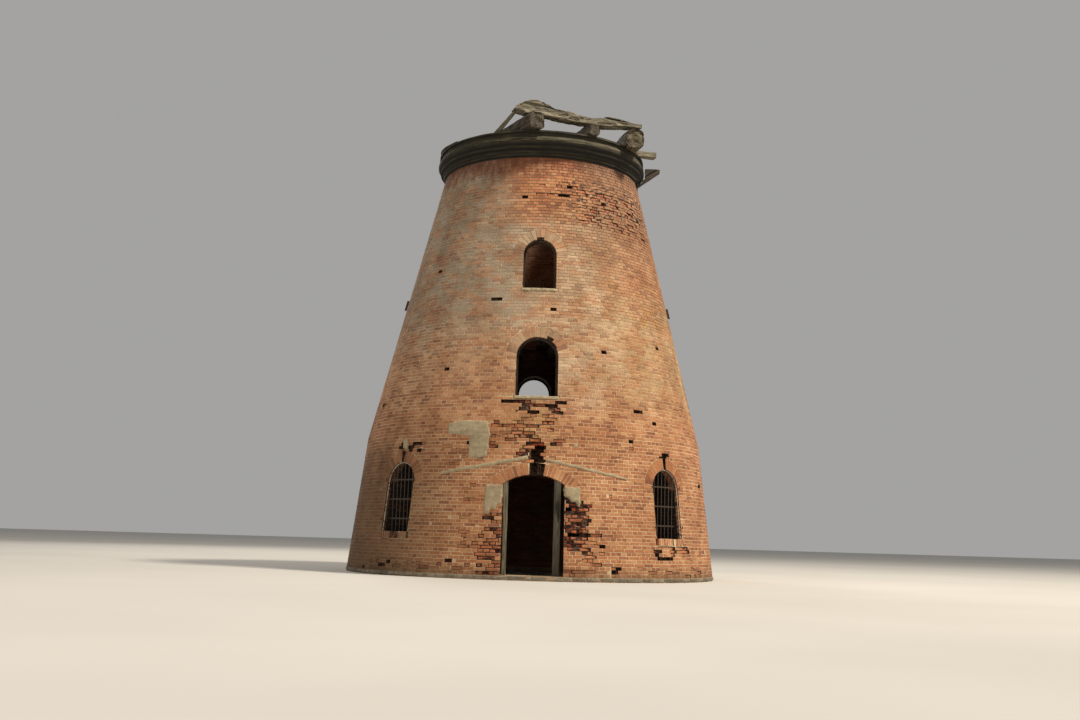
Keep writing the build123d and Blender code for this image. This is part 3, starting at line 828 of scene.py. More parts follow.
# %% Finish: raw core of the wall
core, tree, place = new_finish("raw_wall_core", 0.95)
lumps_in_a_metre = 22.0  # 45 mm each
lumps = add(tree, "TexVoronoi", {"Vector": place, "Scale": lumps_in_a_metre}).node.outputs
shade = add(tree, "SeparateXYZ", [lumps["Color"]])
lumps_with_painted_shade = add(tree, "ValToRGB", [shade],
                  stops=((0.1, "#27140E"), (0.5, "#47281A"), (0.9, "#5C4834")))
dress(tree, lumps_with_painted_shade, lumps["Distance"], 0.012)

# %% [markdown]
# Inside, the wall is the same brick, never repointed and dull with soot and dust. It is seen only
# through openings and from above, so its courses are a pattern: the arc round the tower and the
# height are laid out flat, and brick and joint are drawn on them at their true size.

# %% Finish: inner face of the wall
inner, tree, place = new_finish("dusty_inner_brickwork", 0.95)
x, y, z = add(tree, "SeparateXYZ", [place]).node.outputs
turn = add(tree, "Math", (x, y), operation="ARCTAN2")
inner_radius = face_radii[1] - thickness["ground"]
arc = add(tree, "Math", (turn, inner_radius), operation="MULTIPLY")
courses = add(tree, "TexBrick", {
    "Vector": add(tree, "CombineXYZ", (arc, z)), "Scale": 1.0,
    "Color1": "#7B4630", "Color2": "#A06A48", "Mortar": "#8F7E62",
    "Mortar Size": joint / 2, "Mortar Smooth": 0.3,
    "Brick Width": brick_length + joint, "Row Height": brick_height + joint,
}).node.outputs
dusty = stain(tree, courses["Color"], "#6E5E4A", 0.5, (clouds(tree, place, 0.4, 4), 0.35, 0.7))
relief = add(tree, "Math", (clouds(tree, place, 0.02, 3), courses["Fac"]), operation="SUBTRACT")
dress(tree, dusty, relief, 0.006)

# %% [markdown]
# ## Putting a wall together
# Every brick could be an object, but thousands of them would be slow to show and to export. So a
# bay is one mesh: the mortar body and all its bricks, with the finish chosen face by face. The
# mesh also carries two values at its corners: the tone of each brick, and how broken it is or,
# below zero, how much painted shade it gets. The brick's finish reads both.

# %% Pieces
def show(name, mesh, finishes, slot, *replaced):
    """Puts a mesh in the scene with its finishes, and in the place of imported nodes"""
    for finish in finishes:
        mesh.materials.append(finish)
    made = bpy.data.objects.new(name, mesh)
    bpy.context.scene.collection.objects.link(made)
    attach(made, "root")
    if replaced:
        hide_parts(*replaced)
    print(made.name, len(mesh.polygons), "faces")
    return made


def make_piece(name, parts, finishes, slot, *replaced):
    """One piece of the mill from several lists of corners and faces"""
    corners, faces, numbers, tones, wear_and_shade_values = [], [], [], [], []
    start = 0
    for part in parts:
        size = len(part["corners"])
        corners.append(np.asarray(part["corners"], float))
        faces += [tuple(start + i for i in face) for face in part["faces"]]
        numbers += part.get("finish", [0] * len(part["faces"]))
        tones += list(part.get("tone", [0.5] * size))
        wear_and_shade_values += list(part.get("wear_and_shade", [0.0] * size))
        start += size
    mesh = bpy.data.meshes.new(name)
    mesh.from_pydata(np.concatenate(corners).tolist(), [], faces)
    for label, values in (("tone", tones), ("wear_and_shade", wear_and_shade_values)):
        mesh.attributes.new(label, "FLOAT", "POINT").data.foreach_set("value", values)
    made = show(name, mesh, finishes, slot, *replaced)
    mesh.polygons.foreach_set("material_index", numbers)
    mesh.update()
    return made


# %% Walls
masonry = (brick, mortar, inner, core)
left, right, low, high = wall_hole
hole_edges = [
    (0, rectangle(left - 0.03, right + 0.03, high - 0.02, high + 0.02), 0.07),
    (0, rectangle(left - 0.03, left + 0.01, low + 0.02, high), 0.05),
    (0, rectangle(right - 0.01, right + 0.03, low + 0.02, high), 0.06),
]
for name in laid:
    storey, _, side = name.split("_", 2)
    azimuth = 360 / len(bays[storey]) * bays[storey].index(side)
    holes = [h for h in openings[storey] if abs(angle_between(h["azimuth"], azimuth)) < 1]
    cuts = pockets[name] + (hole_edges if name == "ground_wall_front" else [])
    body = mortar_body(name, holes, joint_depth[storey], cuts, wall=thickness[storey])
    make_piece(name + "_masonry", [body, build_blocks(laid[name])], masonry, "old_brick", name)

# %% [markdown]
# ## Arches
# The arch bricks stand on edge, three rows deep through the wall. The mason rubbed them to a slight
# wedge, so that the joints between them stay thin. They are the same blocks as in the wall, with
# wedges for outlines. At the door the last ones are cut off level where they meet the seats. Some
# have fallen out at the crowns, and leave a dark hole. Over the upper windows a few have only
# broken back.

# %% Bricks of an arch
lost_bricks = {"door": (0.06, 0.21), 45: (-0.09, 0.06), 315: (-0.03, 0.07)}
chipped_bricks = {"first": (0.15, 0.42), "second": (-0.1, 0.1)}
crown_gap = (-0.075, 0.062)
arch_brick_pitch, arch_joint = 0.076, 0.011


def wedge(hole, turn, pitch, low, high):
    """The outline of an arch brick between two distances from the middle of its arch"""
    outline = []
    for reach, sides in ((low, (-1, 1)), (high, (1, -1))):
        half = (pitch * reach - arch_joint) / 2
        for side in sides:
            x = reach * math.sin(turn) + side * half * math.cos(turn)
            z = reach * math.cos(turn) - side * half * math.sin(turn)
            outline.append((x, hole["centre"] + z))
    return outline


def ring_blocks(hole, wall, lost, gap=None, chipped=None, painted_shade=-1.0):
    """The bricks on edge of one arch, and the pockets where front ones are lost"""
    inner_r, outer_r = hole["radius"] + 0.001, hole["radius"] + arch_height - 0.002
    seat = hole["springing"] + 0.004
    half_turn = math.acos((hole["springing"] - hole["centre"]) / outer_r)
    pieces = round(2 * half_turn * inner_r / arch_brick_pitch)
    pitch = 2 * half_turn / pieces
    bricks, cuts = [], []
    rows = ((0.0, brick_length), (brick_length + joint, 2 * brick_length),
            (2 * brick_length + joint, wall - 0.004))
    for row, (start, end) in enumerate(rows):
        for i in range(pieces):
            turn = -half_turn + (i + 0.5) * pitch + random.uniform(-0.003, 0.003)
            chip = 0.0
            if row == 0 and chipped and chipped[0] < inner_r * math.sin(turn) < chipped[1]:
                chip = random.uniform(0.0, 0.09)
            outline = clip(wedge(hole, turn, pitch, inner_r + chip, outer_r), 0, 1, seat)
            if chip > 0.02:
                broken_off = wedge(hole, turn, pitch, inner_r, inner_r + chip)
                cuts.append((hole["azimuth"], broken_off, 0.07))
            if len(outline) < 3 or area(outline) < 0.002:
                continue
            x, _ = middle_of(outline)
            if gap and gap[0] - 0.02 < x < gap[1] + 0.02:
                continue
            if lost and row == 0 and lost[0] < x < lost[1]:
                cuts.append((hole["azimuth"], outline, 0.13 + random.uniform(0, 0.05)))
                continue
            front = start + (random.uniform(0, 0.002) if row == 0 else 0)
            wear_and_shade = painted_shade if row else 0.0
            bricks.append(block(hole["azimuth"], outline, front, end, 0.003, 0.0015,
                                random.random(), wear_and_shade))
    return build_blocks(bricks), cuts


print("bricks in a metre of arch:", round(1 / arch_brick_pitch, 1))

# %% Arch rings
ring, cuts = ring_blocks(door, thickness["ground"], lost_bricks["door"], crown_gap)
for left, right in ((-0.1, -0.065), (0.05, 0.09)):
    cuts.append((0, rectangle(left, right, 2.24, 2.5), 0.07))
body = mortar_body("front_door_arch", [door], 0.007, cuts, wall=thickness["ground"])
make_piece("front_door_arch_bricks", [body, ring], masonry, "arch_brick", "front_door_arch")
window_rows = (("ground", ground_windows), ("first", first_windows), ("second", second_windows))
for storey, holes in window_rows:
    node, rings, cuts = f"{storey}_window_arches", [], []
    # The back rows of each arch get painted shade, less of it over the second-storey windows
    painted_shade = -0.45 if storey == "second" else -1.0
    for hole in holes:
        chipped = chipped_bricks.get(storey) if hole["azimuth"] == 0 else None
        lost = lost_bricks.get(hole["azimuth"])
        ring, more_cuts = ring_blocks(hole, thickness[storey], lost, None, chipped, painted_shade)
        rings.append(ring)
        cuts += more_cuts
    body = mortar_body(node, holes, joint_depth[storey] + 0.003, cuts, wall=thickness[storey])
    make_piece(f"{storey}_window_arch_bricks", [body] + rings, masonry, "arch_brick", node)

# %% [markdown]
# ## Sills
# Under each ground window thirteen bricks stand on edge, standing out three centimetres. A sill
# could be one bar with grooves, but its ends have been knocked off over the years, most of all at
# the corners, so each brick is a block of its own.

# %% Sills of brick on edge
sill_bricks, sill_width, sill_stand_out = 13, 1.0, 0.03
worst_corners = (0, 7, 8, 12)
blocks, cuts = [], []
for hole in ground_windows:
    for i in range(sill_bricks):
        left = -sill_width / 2 + i * sill_width / sill_bricks + 0.005
        right = left + sill_width / sill_bricks - 0.01
        knocked = 0.0
        if hole["azimuth"] in (45, 315) and i in worst_corners or random.random() < 0.12:
            knocked = random.uniform(0.02, 0.07)
        outline = rectangle(left, right, hole["sill_low"] + 0.003, hole["sill"] - 0.001)
        if knocked:
            cuts.append((hole["azimuth"], outline, knocked - 0.022))
        blocks.append(block(hole["azimuth"], outline, knocked - 0.028, 0.255, 0.006, 0.002,
                            wear_and_shade=0.9 if knocked else 0.0))
body = mortar_body("ground_window_sills", [], 0.006, cuts, proud=sill_stand_out)
make_piece("ground_window_sill_bricks", [body, build_blocks(blocks)], masonry, "arch_brick",
           "ground_window_sills")

# %% [markdown]
# ## Sheets that lie on the wall
# A coat of render, a smear of mortar and a worn stone slab are all a sheet whose face rises and
# falls. A plate cut to an outline would have too clean an edge. So a grid over the outline gets a
# depth at every point: proud of the wall inside it and sunk below the joints outside it, and the
# visible edge is the ragged line where the two meet.

# %% Sheets
def sheet(azimuth, left, right, low, high, cell, depth_at, back, drop=1.0):
    """A closed sheet whose face has the depths that a function gives, where they stay shallow"""
    columns = max(2, round((right - left) / cell)) + 1
    rows = max(2, round((high - low) / cell)) + 1
    across, heights = np.meshgrid(np.linspace(left, right, columns), np.linspace(low, high, rows))
    across, heights = across.ravel(), heights.ravel()
    size = columns * rows
    depths = depth_at(across, heights)
    cells = [row * columns + column for row in range(rows - 1) for column in range(columns - 1)]
    quads = [(i, i + 1, i + columns + 1, i + columns) for i in cells]
    quads = [quad for quad in quads if min(depths[k] for k in quad) < drop]
    edges = {(quad[k - 1], quad[k]) for quad in quads for k in range(4)}
    faces = quads + [tuple(size + k for k in reversed(quad)) for quad in quads]
    faces += [(a, size + a, size + b, b) for a, b in sorted(edges) if (b, a) not in edges]
    corners = np.concatenate([on_wall(azimuth, across, heights, depths),
                              on_wall(azimuth, across, heights, np.full(size, back))])
    used = sorted({k for face in faces for k in face})
    place = dict(zip(used, range(len(used))))
    return {"corners": corners[used], "faces": [tuple(place[k] for k in face) for face in faces]}


def inside_by(x, z, outline):
    """How far points lie inside an outline, and less than nothing outside it"""
    nearest, inside = np.full(x.shape, 9.0), np.zeros(x.shape, bool)
    for (ax, az), (bx, bz) in zip(outline, outline[1:] + outline[:1]):
        share = (x - ax) * (bx - ax) + (z - az) * (bz - az)
        share = np.clip(share / ((bx - ax) ** 2 + (bz - az) ** 2), 0, 1)
        off_x, off_z = x - ax - share * (bx - ax), z - az - share * (bz - az)
        nearest = np.minimum(nearest, np.hypot(off_x, off_z))
        crossing = x < (bx - ax) * (z - az) / (bz - az + 1e-12) + ax
        inside ^= ((az > z) != (bz > z)) & crossing
    return np.where(inside, nearest, -nearest)


square = rectangle(0, 1, 0, 1)
centre = np.array([0.5])
print("the middle of a metre square lies inside by", inside_by(centre, centre, square))

# %% Coats
def bumps_at(size, *places):
    """Cloudy noise from -1 to 1 at many places, with bumps of about a size"""
    return np.array([noise.noise(Vector(place) / size) for place in zip(*places)])


def coat(azimuth, outline, proud, ragged=0.025, cell=0.015, torn=0.02):
    """A coat on the wall inside an outline in metres across and up, thin and torn at its edge"""
    xs, zs = zip(*outline)

    def depth_at(across, heights):
        layer = np.full(across.shape, float(azimuth))
        rough = bumps_at(0.07, across, heights, layer)
        fine = bumps_at(0.02, across, heights, layer)
        inside = inside_by(across, heights, outline) + ragged * (rough + 0.5 * fine)
        share = np.clip(inside / torn, -1, 1)
        raised = -proud * share * (1 + 0.25 * rough) - 0.002 * fine
        return np.where(share > 0, raised, -share * 0.02)

    edges = (min(xs) - 0.04, max(xs) + 0.04, min(zs) - 0.04, max(zs) + 0.04)
    return sheet(azimuth, *edges, cell, depth_at, 0.05, 0.008)


def turned(azimuth, outline):
    """An outline in degrees and metres as metres across and up, for someone who faces an azimuth"""
    return [(float(face_radius(z)) * math.sin(math.radians(a - azimuth)), z) for a, z in outline]


print("ten degrees at the foot are", round(turned(0, [(10, foot)])[0][0], 3), "m")


# %% [markdown]
# Grey cement render was daubed over bad spots: beside the door, and in a hook-shaped patch above
# it to the left. Two strips of cement show where a lean-to roof once met the wall. Cement is
# denser and greyer than lime, smooth where the float passed, and it cracks in fine lines. They are
# too thin to model, so the edges between the cells of a pattern are drawn in a darker colour.

# %% Finish: cement render
render, tree, place = new_finish("old_cement_render", 0.88)
body_colour = add(tree, "ValToRGB", [clouds(tree, place, 0.12, 4)],
                  stops=((0.25, "#86785E"), (0.5, "#9C8D70"), (0.75, "#AE9E80")))
cracks_in_a_metre = 4.0  # plates of 250 mm between them
cracks = add(tree, "TexVoronoi", {"Vector": place, "Scale": cracks_in_a_metre}, "Distance",
             feature="DISTANCE_TO_EDGE")
cracked = stain(tree, "#857860", body_colour, 1.0, (cracks, 0.0, 0.012))
dress(tree, cracked, clouds(tree, place, 0.015, 4), 0.002)

# %% Render, cement strips and mortar smears
proud = 0.01
over_door = [(-28.2, 3.33), (-27.5, 3.1), (-20.3, 3.05), (-20.0, 2.56), (-14.6, 2.6),
             (-13.9, 3.1), (-15.0, 3.38), (-24.0, 3.4)]
door_left = [(-14.0, 2.0), (-14.2, 1.75), (-14.2, 1.4), (-13.0, 1.38), (-12.2, 1.5),
             (-11.0, 1.47), (-10.2, 1.6), (-9.3, 1.58), (-9.0, 2.0)]
door_right = [(9.0, 1.99), (9.1, 1.8), (10.4, 1.77), (11.4, 1.68), (12.4, 1.7), (13.3, 1.58),
              (13.6, 1.7), (13.5, 1.99)]
strip_left = [(-29, 2.2), (-15, 2.38), (-2.2, 2.56), (-2.2, 2.63), (-15, 2.45), (-29, 2.27)]
strip_right = [(3.6, 2.53), (15, 2.37), (29, 2.19), (29, 2.24), (15, 2.43), (3.6, 2.59)]
smear = [(-0.05, 2.82), (0.06, 2.8), (0.1, 2.92), (0.04, 3.04), (-0.06, 2.98)]
small_smear = [(11.8, 2.87), (13.0, 2.85), (12.9, 2.95), (12.0, 2.96)]
at_the_back = [(150, 1.9), (158, 1.7), (168, 2.0), (166, 2.6), (155, 2.5)]
coats = [
    coat(-20, turned(-20, over_door), proud, 0.014),
    coat(-12, turned(-12, door_left), proud, 0.012),
    coat(12, turned(12, door_right), proud, 0.012),
    coat(-15, turned(-15, strip_left), proud, 0.01, 0.014, 0.01),
    coat(15, turned(15, strip_right), proud, 0.01, 0.014, 0.01),
    coat(315, smear, 0.006, 0.02),
    coat(18, turned(18, small_smear), 0.006, 0.02),
    coat(160, turned(160, at_the_back), proud, 0.02),
]
make_piece("cement_patches", coats, [render], "old_brick")

# %% [markdown]
# The upper sills are slabs of pale limestone. Rain has rounded their edges and pitted the top,
# and moss keeps the hollows dark. A slab is a sheet like the coats, with a deep back, so that its
# pits and its worn ends are real relief.

# %% Finish: sill stone
stone, tree, place = new_finish("worn_pale_limestone", 0.85)
veins = clouds(tree, place, 0.05, 5)
pale = add(tree, "ValToRGB", [veins],
           stops=((0.25, "#6F6349"), (0.45, "#96876A"), (0.75, "#B3A281")))
mossy = stain(tree, pale, "#6A5B42", 0.6, (clouds(tree, place, 0.02, 3), 0.6, 0.75))
dress(tree, mossy, veins, 0.006)

# %% Sill slabs
def slab(hole):
    """The worn slab under an upper window"""
    low, high, reach = hole["sill_low"], hole["sill"], hole["half"] + 0.048

    def depth_at(across, heights):
        edge = np.minimum(heights - low, high - heights) / 0.02
        rounded = 0.012 * np.clip(1 - edge, 0, 1) ** 2
        end = np.clip(1 - (reach - np.abs(across)) / 0.05, 0, 1)
        layer = np.full(across.shape, float(hole["azimuth"]))
        worn = 0.012 * (1 + bumps_at(0.09, across, heights, layer))
        worn += 0.004 * bumps_at(0.03, across, heights, layer)
        return rounded + worn + 0.03 * end**2 - 0.029

    return sheet(hole["azimuth"], -reach, reach, low + 0.001, high, 0.0115, depth_at, 0.255)


for storey, holes in window_rows[1:]:
    make_piece(f"{storey}_window_sill_slabs", [slab(hole) for hole in holes], [stone],
               "sill_stone", f"{storey}_window_sills")

# %% [markdown]
# ## Foundation
# The brickwork stands on a low course of split fieldstone in mortar, a hand's width high, that
# stands out a little. Fieldstone is hard and speckled grey-brown, with soil rubbed into it. Each
# stone is a block like a brick, but wider and rougher, set back a little in its mortar.

# %% Finish: fieldstone
fieldstone, tree, place = new_finish("split_fieldstone", 0.9)
tone = add(tree, "Attribute", result="Fac", attribute_name="tone")
base = add(tree, "ValToRGB", [tone], stops=((0.0, "#5D564C"), (0.5, "#7B7060"), (1.0, "#8F8373")))
crystals_in_a_metre = 90.0  # 11 mm each, coarser than real ones, to show
crystals = add(tree, "TexVoronoi", {"Vector": place, "Scale": crystals_in_a_metre}, "Color")
speckled = stain(tree, base, "#A79A86", 0.35, add(tree, "SeparateXYZ", [crystals]))
soiled = stain(tree, speckled, "#4E4231", 0.55, (clouds(tree, place, 0.15, 4), 0.4, 0.65))
dress(tree, soiled, clouds(tree, place, 0.03, 4), 0.012)

# %% Foundation stones
stand_out = corner_radii("foundation", 0.0)[1] - face_radii[0]
set_back, mortar_set_back = 0.03, 0.042
stones, azimuth = [], 0.0
while azimuth < 359:
    width = min(random.uniform(0.18, 0.42), math.radians(360 - azimuth) * face_radii[0])
    turn = math.degrees(width / face_radii[0])
    half = width / 2 - 0.01
    outline = rectangle(-half, half, 0.02, foot - 0.012)
    stones.append(block(azimuth + turn / 2, outline, set_back - stand_out, 0.3, 0.012, 0.004))
    azimuth += turn
body = mortar_body("foundation", [], mortar_set_back, proud=stand_out)
make_piece("foundation_stones", [body, build_blocks(stones)], (fieldstone, mortar), "fieldstone",
           "foundation")
print("foundation stones:", len(stones))

# %% [markdown]
# ## Iron
# The ground windows have grilles of forged bars: six upright ones through three flat ones. Wrought
# iron left outside turns grey-brown, darker where it stays damp, and orange in flakes. Each bar is
# a closed tube along a short path, because a curve with a bevel would only become one on export.

# %% Finish: rusty wrought iron
iron, tree, place = new_finish("rusty_wrought_iron", 0.75, metallic=0.35)
flakes = clouds(tree, place, 0.012, 5)
rust = add(tree, "ValToRGB", [flakes],
           stops=((0.3, "#2C2621"), (0.55, "#4A4038"), (0.75, "#7A5640")))
dress(tree, rust, flakes, 0.001)


# %% Rods
def rod(path, radius, sides=8, flatten=1.0):
    """A closed round or flattened rod along a path of points"""
    points = [Vector(p) for p in path]
    last = len(points) - 1
    corners, faces = [], []
    for i, point in enumerate(points):
        along = (points[min(i + 1, last)] - points[max(i - 1, 0)]).normalized()
        side = along.cross(Vector((0, 0, 1) if abs(along.z) < 0.9 else (1, 0, 0))).normalized()
        other = side.cross(along)
        size = radius[i] if isinstance(radius, (list, tuple)) else radius
        for k in range(sides):
            turn = 2 * math.pi * (k + 0.5) / sides
            off = side * size * flatten * math.cos(turn) + other * size * math.sin(turn)
            corners.append(tuple(point + off))
    for i in range(last):
        for k in range(sides):
            a, b = i * sides + k, i * sides + (k + 1) % sides
            faces.append((a, b, b + sides, a + sides))
    faces.append(tuple(range(sides - 1, -1, -1)))
    faces.append(tuple(range(last * sides, (last + 1) * sides)))
    return {"corners": corners, "faces": faces}


def placed(azimuth, across, out, height):
    """A point from its distances across and out, for someone who faces an azimuth"""
    x, y, _ = on_wall_line(azimuth, across, out)
    return x, y, height


def refinish(node, finish):
    """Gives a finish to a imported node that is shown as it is"""
    cad[node].data.materials.clear()
    cad[node].data.materials.append(finish)


refinish("wall_anchors", iron)
print("a point in front of the door:", placed(0, 0, 5, 1))

# %% Grilles and hinge pins
upright_radius, flat_half_width, pin_radius, pin_head_radius = 0.011, 0.022, 0.012, 0.009
bars = []
for hole in ground_windows:
    azimuth = hole["azimuth"]
    out = float(face_radius(hole["springing"])) - 0.1
    for i in range(6):
        x = hole["half"] * (2 * (i + 1) / 7 - 1)
        top = hole["springing"] + math.sqrt(hole["half"] ** 2 - x**2) + 0.02
        bend = random.uniform(-0.006, 0.006)
        path = [(x, hole["sill"] - 0.02), (x + bend, 1.5), (x, top)]
        bars.append(rod([placed(azimuth, a, out, z) for a, z in path], upright_radius))
    for z in (1.24, 1.67, 2.1):
        half = math.sqrt(hole["half"] ** 2 - max(0, z - hole["springing"]) ** 2) + 0.02
        path = [placed(azimuth, a, out, z) for a in (-half, 0, half)]
        bars.append(rod(path, flat_half_width, 4, 0.4))
    for z in (1.2, 2.08):
        for side in (-1, 1):
            x = side * (hole["half"] + 0.03)
            face = math.sqrt((float(face_radius(z)) - 0.01) ** 2 - x**2)
            pin = [placed(azimuth, x, face + reach, z) for reach in (-0.08, 0.035)]
            head = [placed(azimuth, x, face + 0.03, z + rise) for rise in (-0.01, 0.06)]
            bars += [rod(pin, pin_radius), rod(head, pin_head_radius)]
make_piece("window_grilles_and_pins", bars, [iron], "wrought_iron")
print("iron bars:", len(bars))

# %% [markdown]
# Each grille sits in a rim of bar iron, bent round the opening and once painted white. The paint
# has chalked and flaked, and rust comes through it. One mask gives both the colour and the thin
# edge of the paint, so that they always agree.

# %% Grille rims
painted, tree, place = new_finish("chalked_paint_on_iron", 0.7)
flaked = zone(tree, 1.0, (clouds(tree, place, 0.03, 5), 0.5, 0.6))
specks = clouds(tree, place, 0.01, 3)
chalk = add(tree, "ValToRGB", [specks], stops=((0.3, "#9A9486"), (0.7, "#BDB7A6")))
dress(tree, stain(tree, chalk, "#4A382B", 1.0, flaked), flaked, 0.0006)
rim_radius = 0.012
rims = []
for hole in ground_windows:
    reach, low = hole["half"] - rim_radius, hole["sill"] + 0.005
    turns = [math.radians(turn) for turn in np.linspace(-90, 90, 19)]
    bow = [(reach * math.sin(turn), hole["springing"] + reach * math.cos(turn)) for turn in turns]
    path = [(x, math.sqrt(face_radius(z) ** 2 - x**2) - 0.04, z)
            for x, z in [(-reach, low)] + bow + [(reach, low)]]
    rims.append(rod([placed(hole["azimuth"], *point) for point in path], rim_radius))
make_piece("window_grille_rims", rims, [painted], "wrought_iron")

# %% [markdown]
# ## Timber
# The timbers are oak that has stood in the rain for a hundred years. It turns silver-grey, the
# soft early wood wears away between hard ridges, and long cracks open along the grain. A voxel
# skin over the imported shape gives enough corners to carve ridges, cracks and torn ends into it.
# Every timber stores its own directions at its corners, so that the grain follows the wood.

# %% Finish: weathered oak
def timber_finish(name, dark, middle, light, place_from="grain", stretch=(0.05, 1, 1)):
    """Weathered wood whose fibres run along the first direction of the piece"""
    made, tree, place = new_finish(name, 0.85)
    if place_from == "grain":
        place = add(tree, "Attribute", result="Vector", attribute_name="grain")
    # Real fibres are about a millimetre wide: they are drawn coarser, so that they show
    fibres, bands = clouds(tree, place, 0.014, 4, stretch), clouds(tree, place, 0.05, 3, stretch)
    bands_share = add(tree, "Math", (bands, 0.4), operation="MULTIPLY")
    both = add(tree, "Math", (fibres, 0.6, bands_share), operation="MULTIPLY_ADD")
    colour = add(tree, "ValToRGB", [both], stops=((0.34, dark), (0.5, middle), (0.64, light)))
    colour = stain(tree, colour, dark, 0.5, (clouds(tree, place, 0.35, 4), 0.45, 0.7))
    # The cut value is painted shade in open cracks and broken chips, and dark end grain on torn ends
    cut = add(tree, "Attribute", result="Fac", attribute_name="cut")
    colour = stain(tree, colour, "#1B150E", 1.0, (cut, 0.15, 0.8))
    dress(tree, colour, add(tree, "Math", (fibres, bands), operation="ADD"), 0.006)
    return made


oak = timber_finish("silvered_weathered_oak", "#2F291D", "#766E5A", "#A59E89")
brown_oak = timber_finish("brown_weathered_oak", "#221C12", "#554B36", "#7F7458")
damp_oak = timber_finish("damp_brown_oak", "#1D1710", "#40372A", "#6A5F4B")

# %% [markdown]
# The door posts are the same oak, but the right one stands in the shade of the doorway, so painted
# shade darkens its colour past the middle of the door. The painted shade is laid on the finished
# colour, which saves a second way of making wood.

# %% Finish: oak of the door posts
posts = timber_finish("grey_oak_door_posts", "#37301F", "#6F6753", "#988F79")
tree = posts.node_tree
surface_colour = tree.nodes["Principled BSDF"].inputs["Base Color"]
x = add(tree, "SeparateXYZ", [add(tree, "TexCoord", result="Object")])
# The right post gets painted shade past the middle of the door
shaded = stain(tree, surface_colour.links[0].from_socket, "#2B261B", 0.6, (x, -0.1, 0.1))
tree.links.new(shaded, surface_colour)

# %% Relief of old wood
# Real growth rings are a few millimetres wide: these are drawn far coarser, so that they show
growth_ring = 0.05


def cracks_along(u, turn, reach, cracks, deepest):
    """How deep and how open the cracks are at every corner of a timber"""
    low, high = u.min(), u.max()
    depth, opened = np.zeros(u.shape), np.zeros(u.shape)
    for _ in range(cracks):
        line, wide = random.uniform(-3.1, 3.1), random.uniform(0.016, 0.034)
        deep = random.uniform(0.4, 1) * deepest
        start, end = sorted(random.uniform(low, high) for _ in range(2))
        start, end = start - 0.4, end + 0.4
        wander = line + 0.25 * bumps_at(0.9, u, np.full(u.shape, line), np.zeros(u.shape))
        away = np.abs((turn - wander + math.pi) % (2 * math.pi) - math.pi) * reach
        taper = np.clip(np.minimum(u - start, end - u) / 0.25, 0, 1)
        open_by = np.clip(1 - away / wide, 0, 1) * taper
        depth += deep * open_by
        opened = np.maximum(opened, open_by)
    return depth, opened


def wood_relief(u, v, w, facing, relief, cracks, torn, chips, deepest):
    """How deep the wood has gone, with painted shade in cracks and chips and dark end grain"""
    middle_v, middle_w = (v.min() + v.max()) / 2, (w.min() + w.max()) / 2
    turn = np.arctan2(w - middle_w, v - middle_v)
    reach = np.hypot(v - middle_v, w - middle_w)
    ridge, lump = bumps_at(1.0, u * 1.1, v * 26, w * 26), bumps_at(0.3, u, v, w)
    chip = np.clip((bumps_at(0.17, u * 0.4, v, w) - 0.05) / 0.06, 0, 1)
    chip += np.clip((bumps_at(0.08, u * 0.4 + 7, v, w) - 0.2) / 0.08, 0, 1)
    crack, opened = cracks_along(u, turn, reach, cracks, deepest)
    depth = relief * (0.55 + 0.6 * ridge + 0.7 * lump) + chips * chip + crack
    # Broken chips and open cracks are painted dark, as shade
    dark = np.clip(1.2 * chip * (2 - chip) * (chips > 0.01), 0, 0.35)
    dark = np.maximum(dark, opened)
    ends = np.clip((np.abs(facing) - 0.5) / 0.3, 0, 1)
    rings = 0.5 + 0.5 * np.sin(reach * 2 * math.pi / growth_ring)
    broken = bumps_at(0.11, v, w, u * 0.2)
    tear = torn * (0.5 + 0.5 * broken + 0.1 * rings)
    depth = np.clip(depth, 0.001, deepest) * (1 - ends) + tear * ends
    return depth, dark * (1 - ends) + (0.22 + 0.4 * broken + 0.06 * rings) * ends


print("growth rings drawn every", growth_ring, "m where an end has torn")

# %% Carved timbers
def carved_timber(node, along, finish, voxel, relief, cracks, torn, chips=0.0, deepest=0.05):
    """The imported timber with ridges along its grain, open cracks, broken chips and torn ends"""
    start = as_mesh(plain_shape(node), node + "_start")
    mesh = modified(start, "REMESH", mode="VOXEL", voxel_size=voxel)
    size = len(mesh.vertices)
    corners, normals = np.empty(3 * size), np.empty(3 * size)
    mesh.vertices.foreach_get("co", corners)
    mesh.vertices.foreach_get("normal", normals)
    corners, normals = corners.reshape(-1, 3), normals.reshape(-1, 3)
    along = Vector(along).normalized()
    side = along.cross(Vector((0, 0, 1) if abs(along.z) < 0.9 else (0, 1, 0))).normalized()
    along, side = np.array(along), np.array(side)
    up = np.cross(side, along)
    u, v, w = corners @ along, corners @ side, corners @ up
    depth, dark = wood_relief(u, v, w, normals @ along, relief, cracks, torn, chips, deepest)
    mesh.vertices.foreach_set("co", (corners - normals * depth[:, None]).ravel())
    directions = np.stack([u, v, w], -1).ravel()
    mesh.attributes.new("grain", "FLOAT_VECTOR", "POINT").data.foreach_set("vector", directions)
    mesh.attributes.new("cut", "FLOAT", "POINT").data.foreach_set("value", dark)
    mesh.update()
    show(node + "_wood", mesh, [finish], "grey_timber", node)


def heading(azimuth, rise=0.0):
    """A direction from its azimuth and how far it rises in a metre"""
    turn = math.radians(azimuth)
    return math.sin(turn), -math.cos(turn), rise


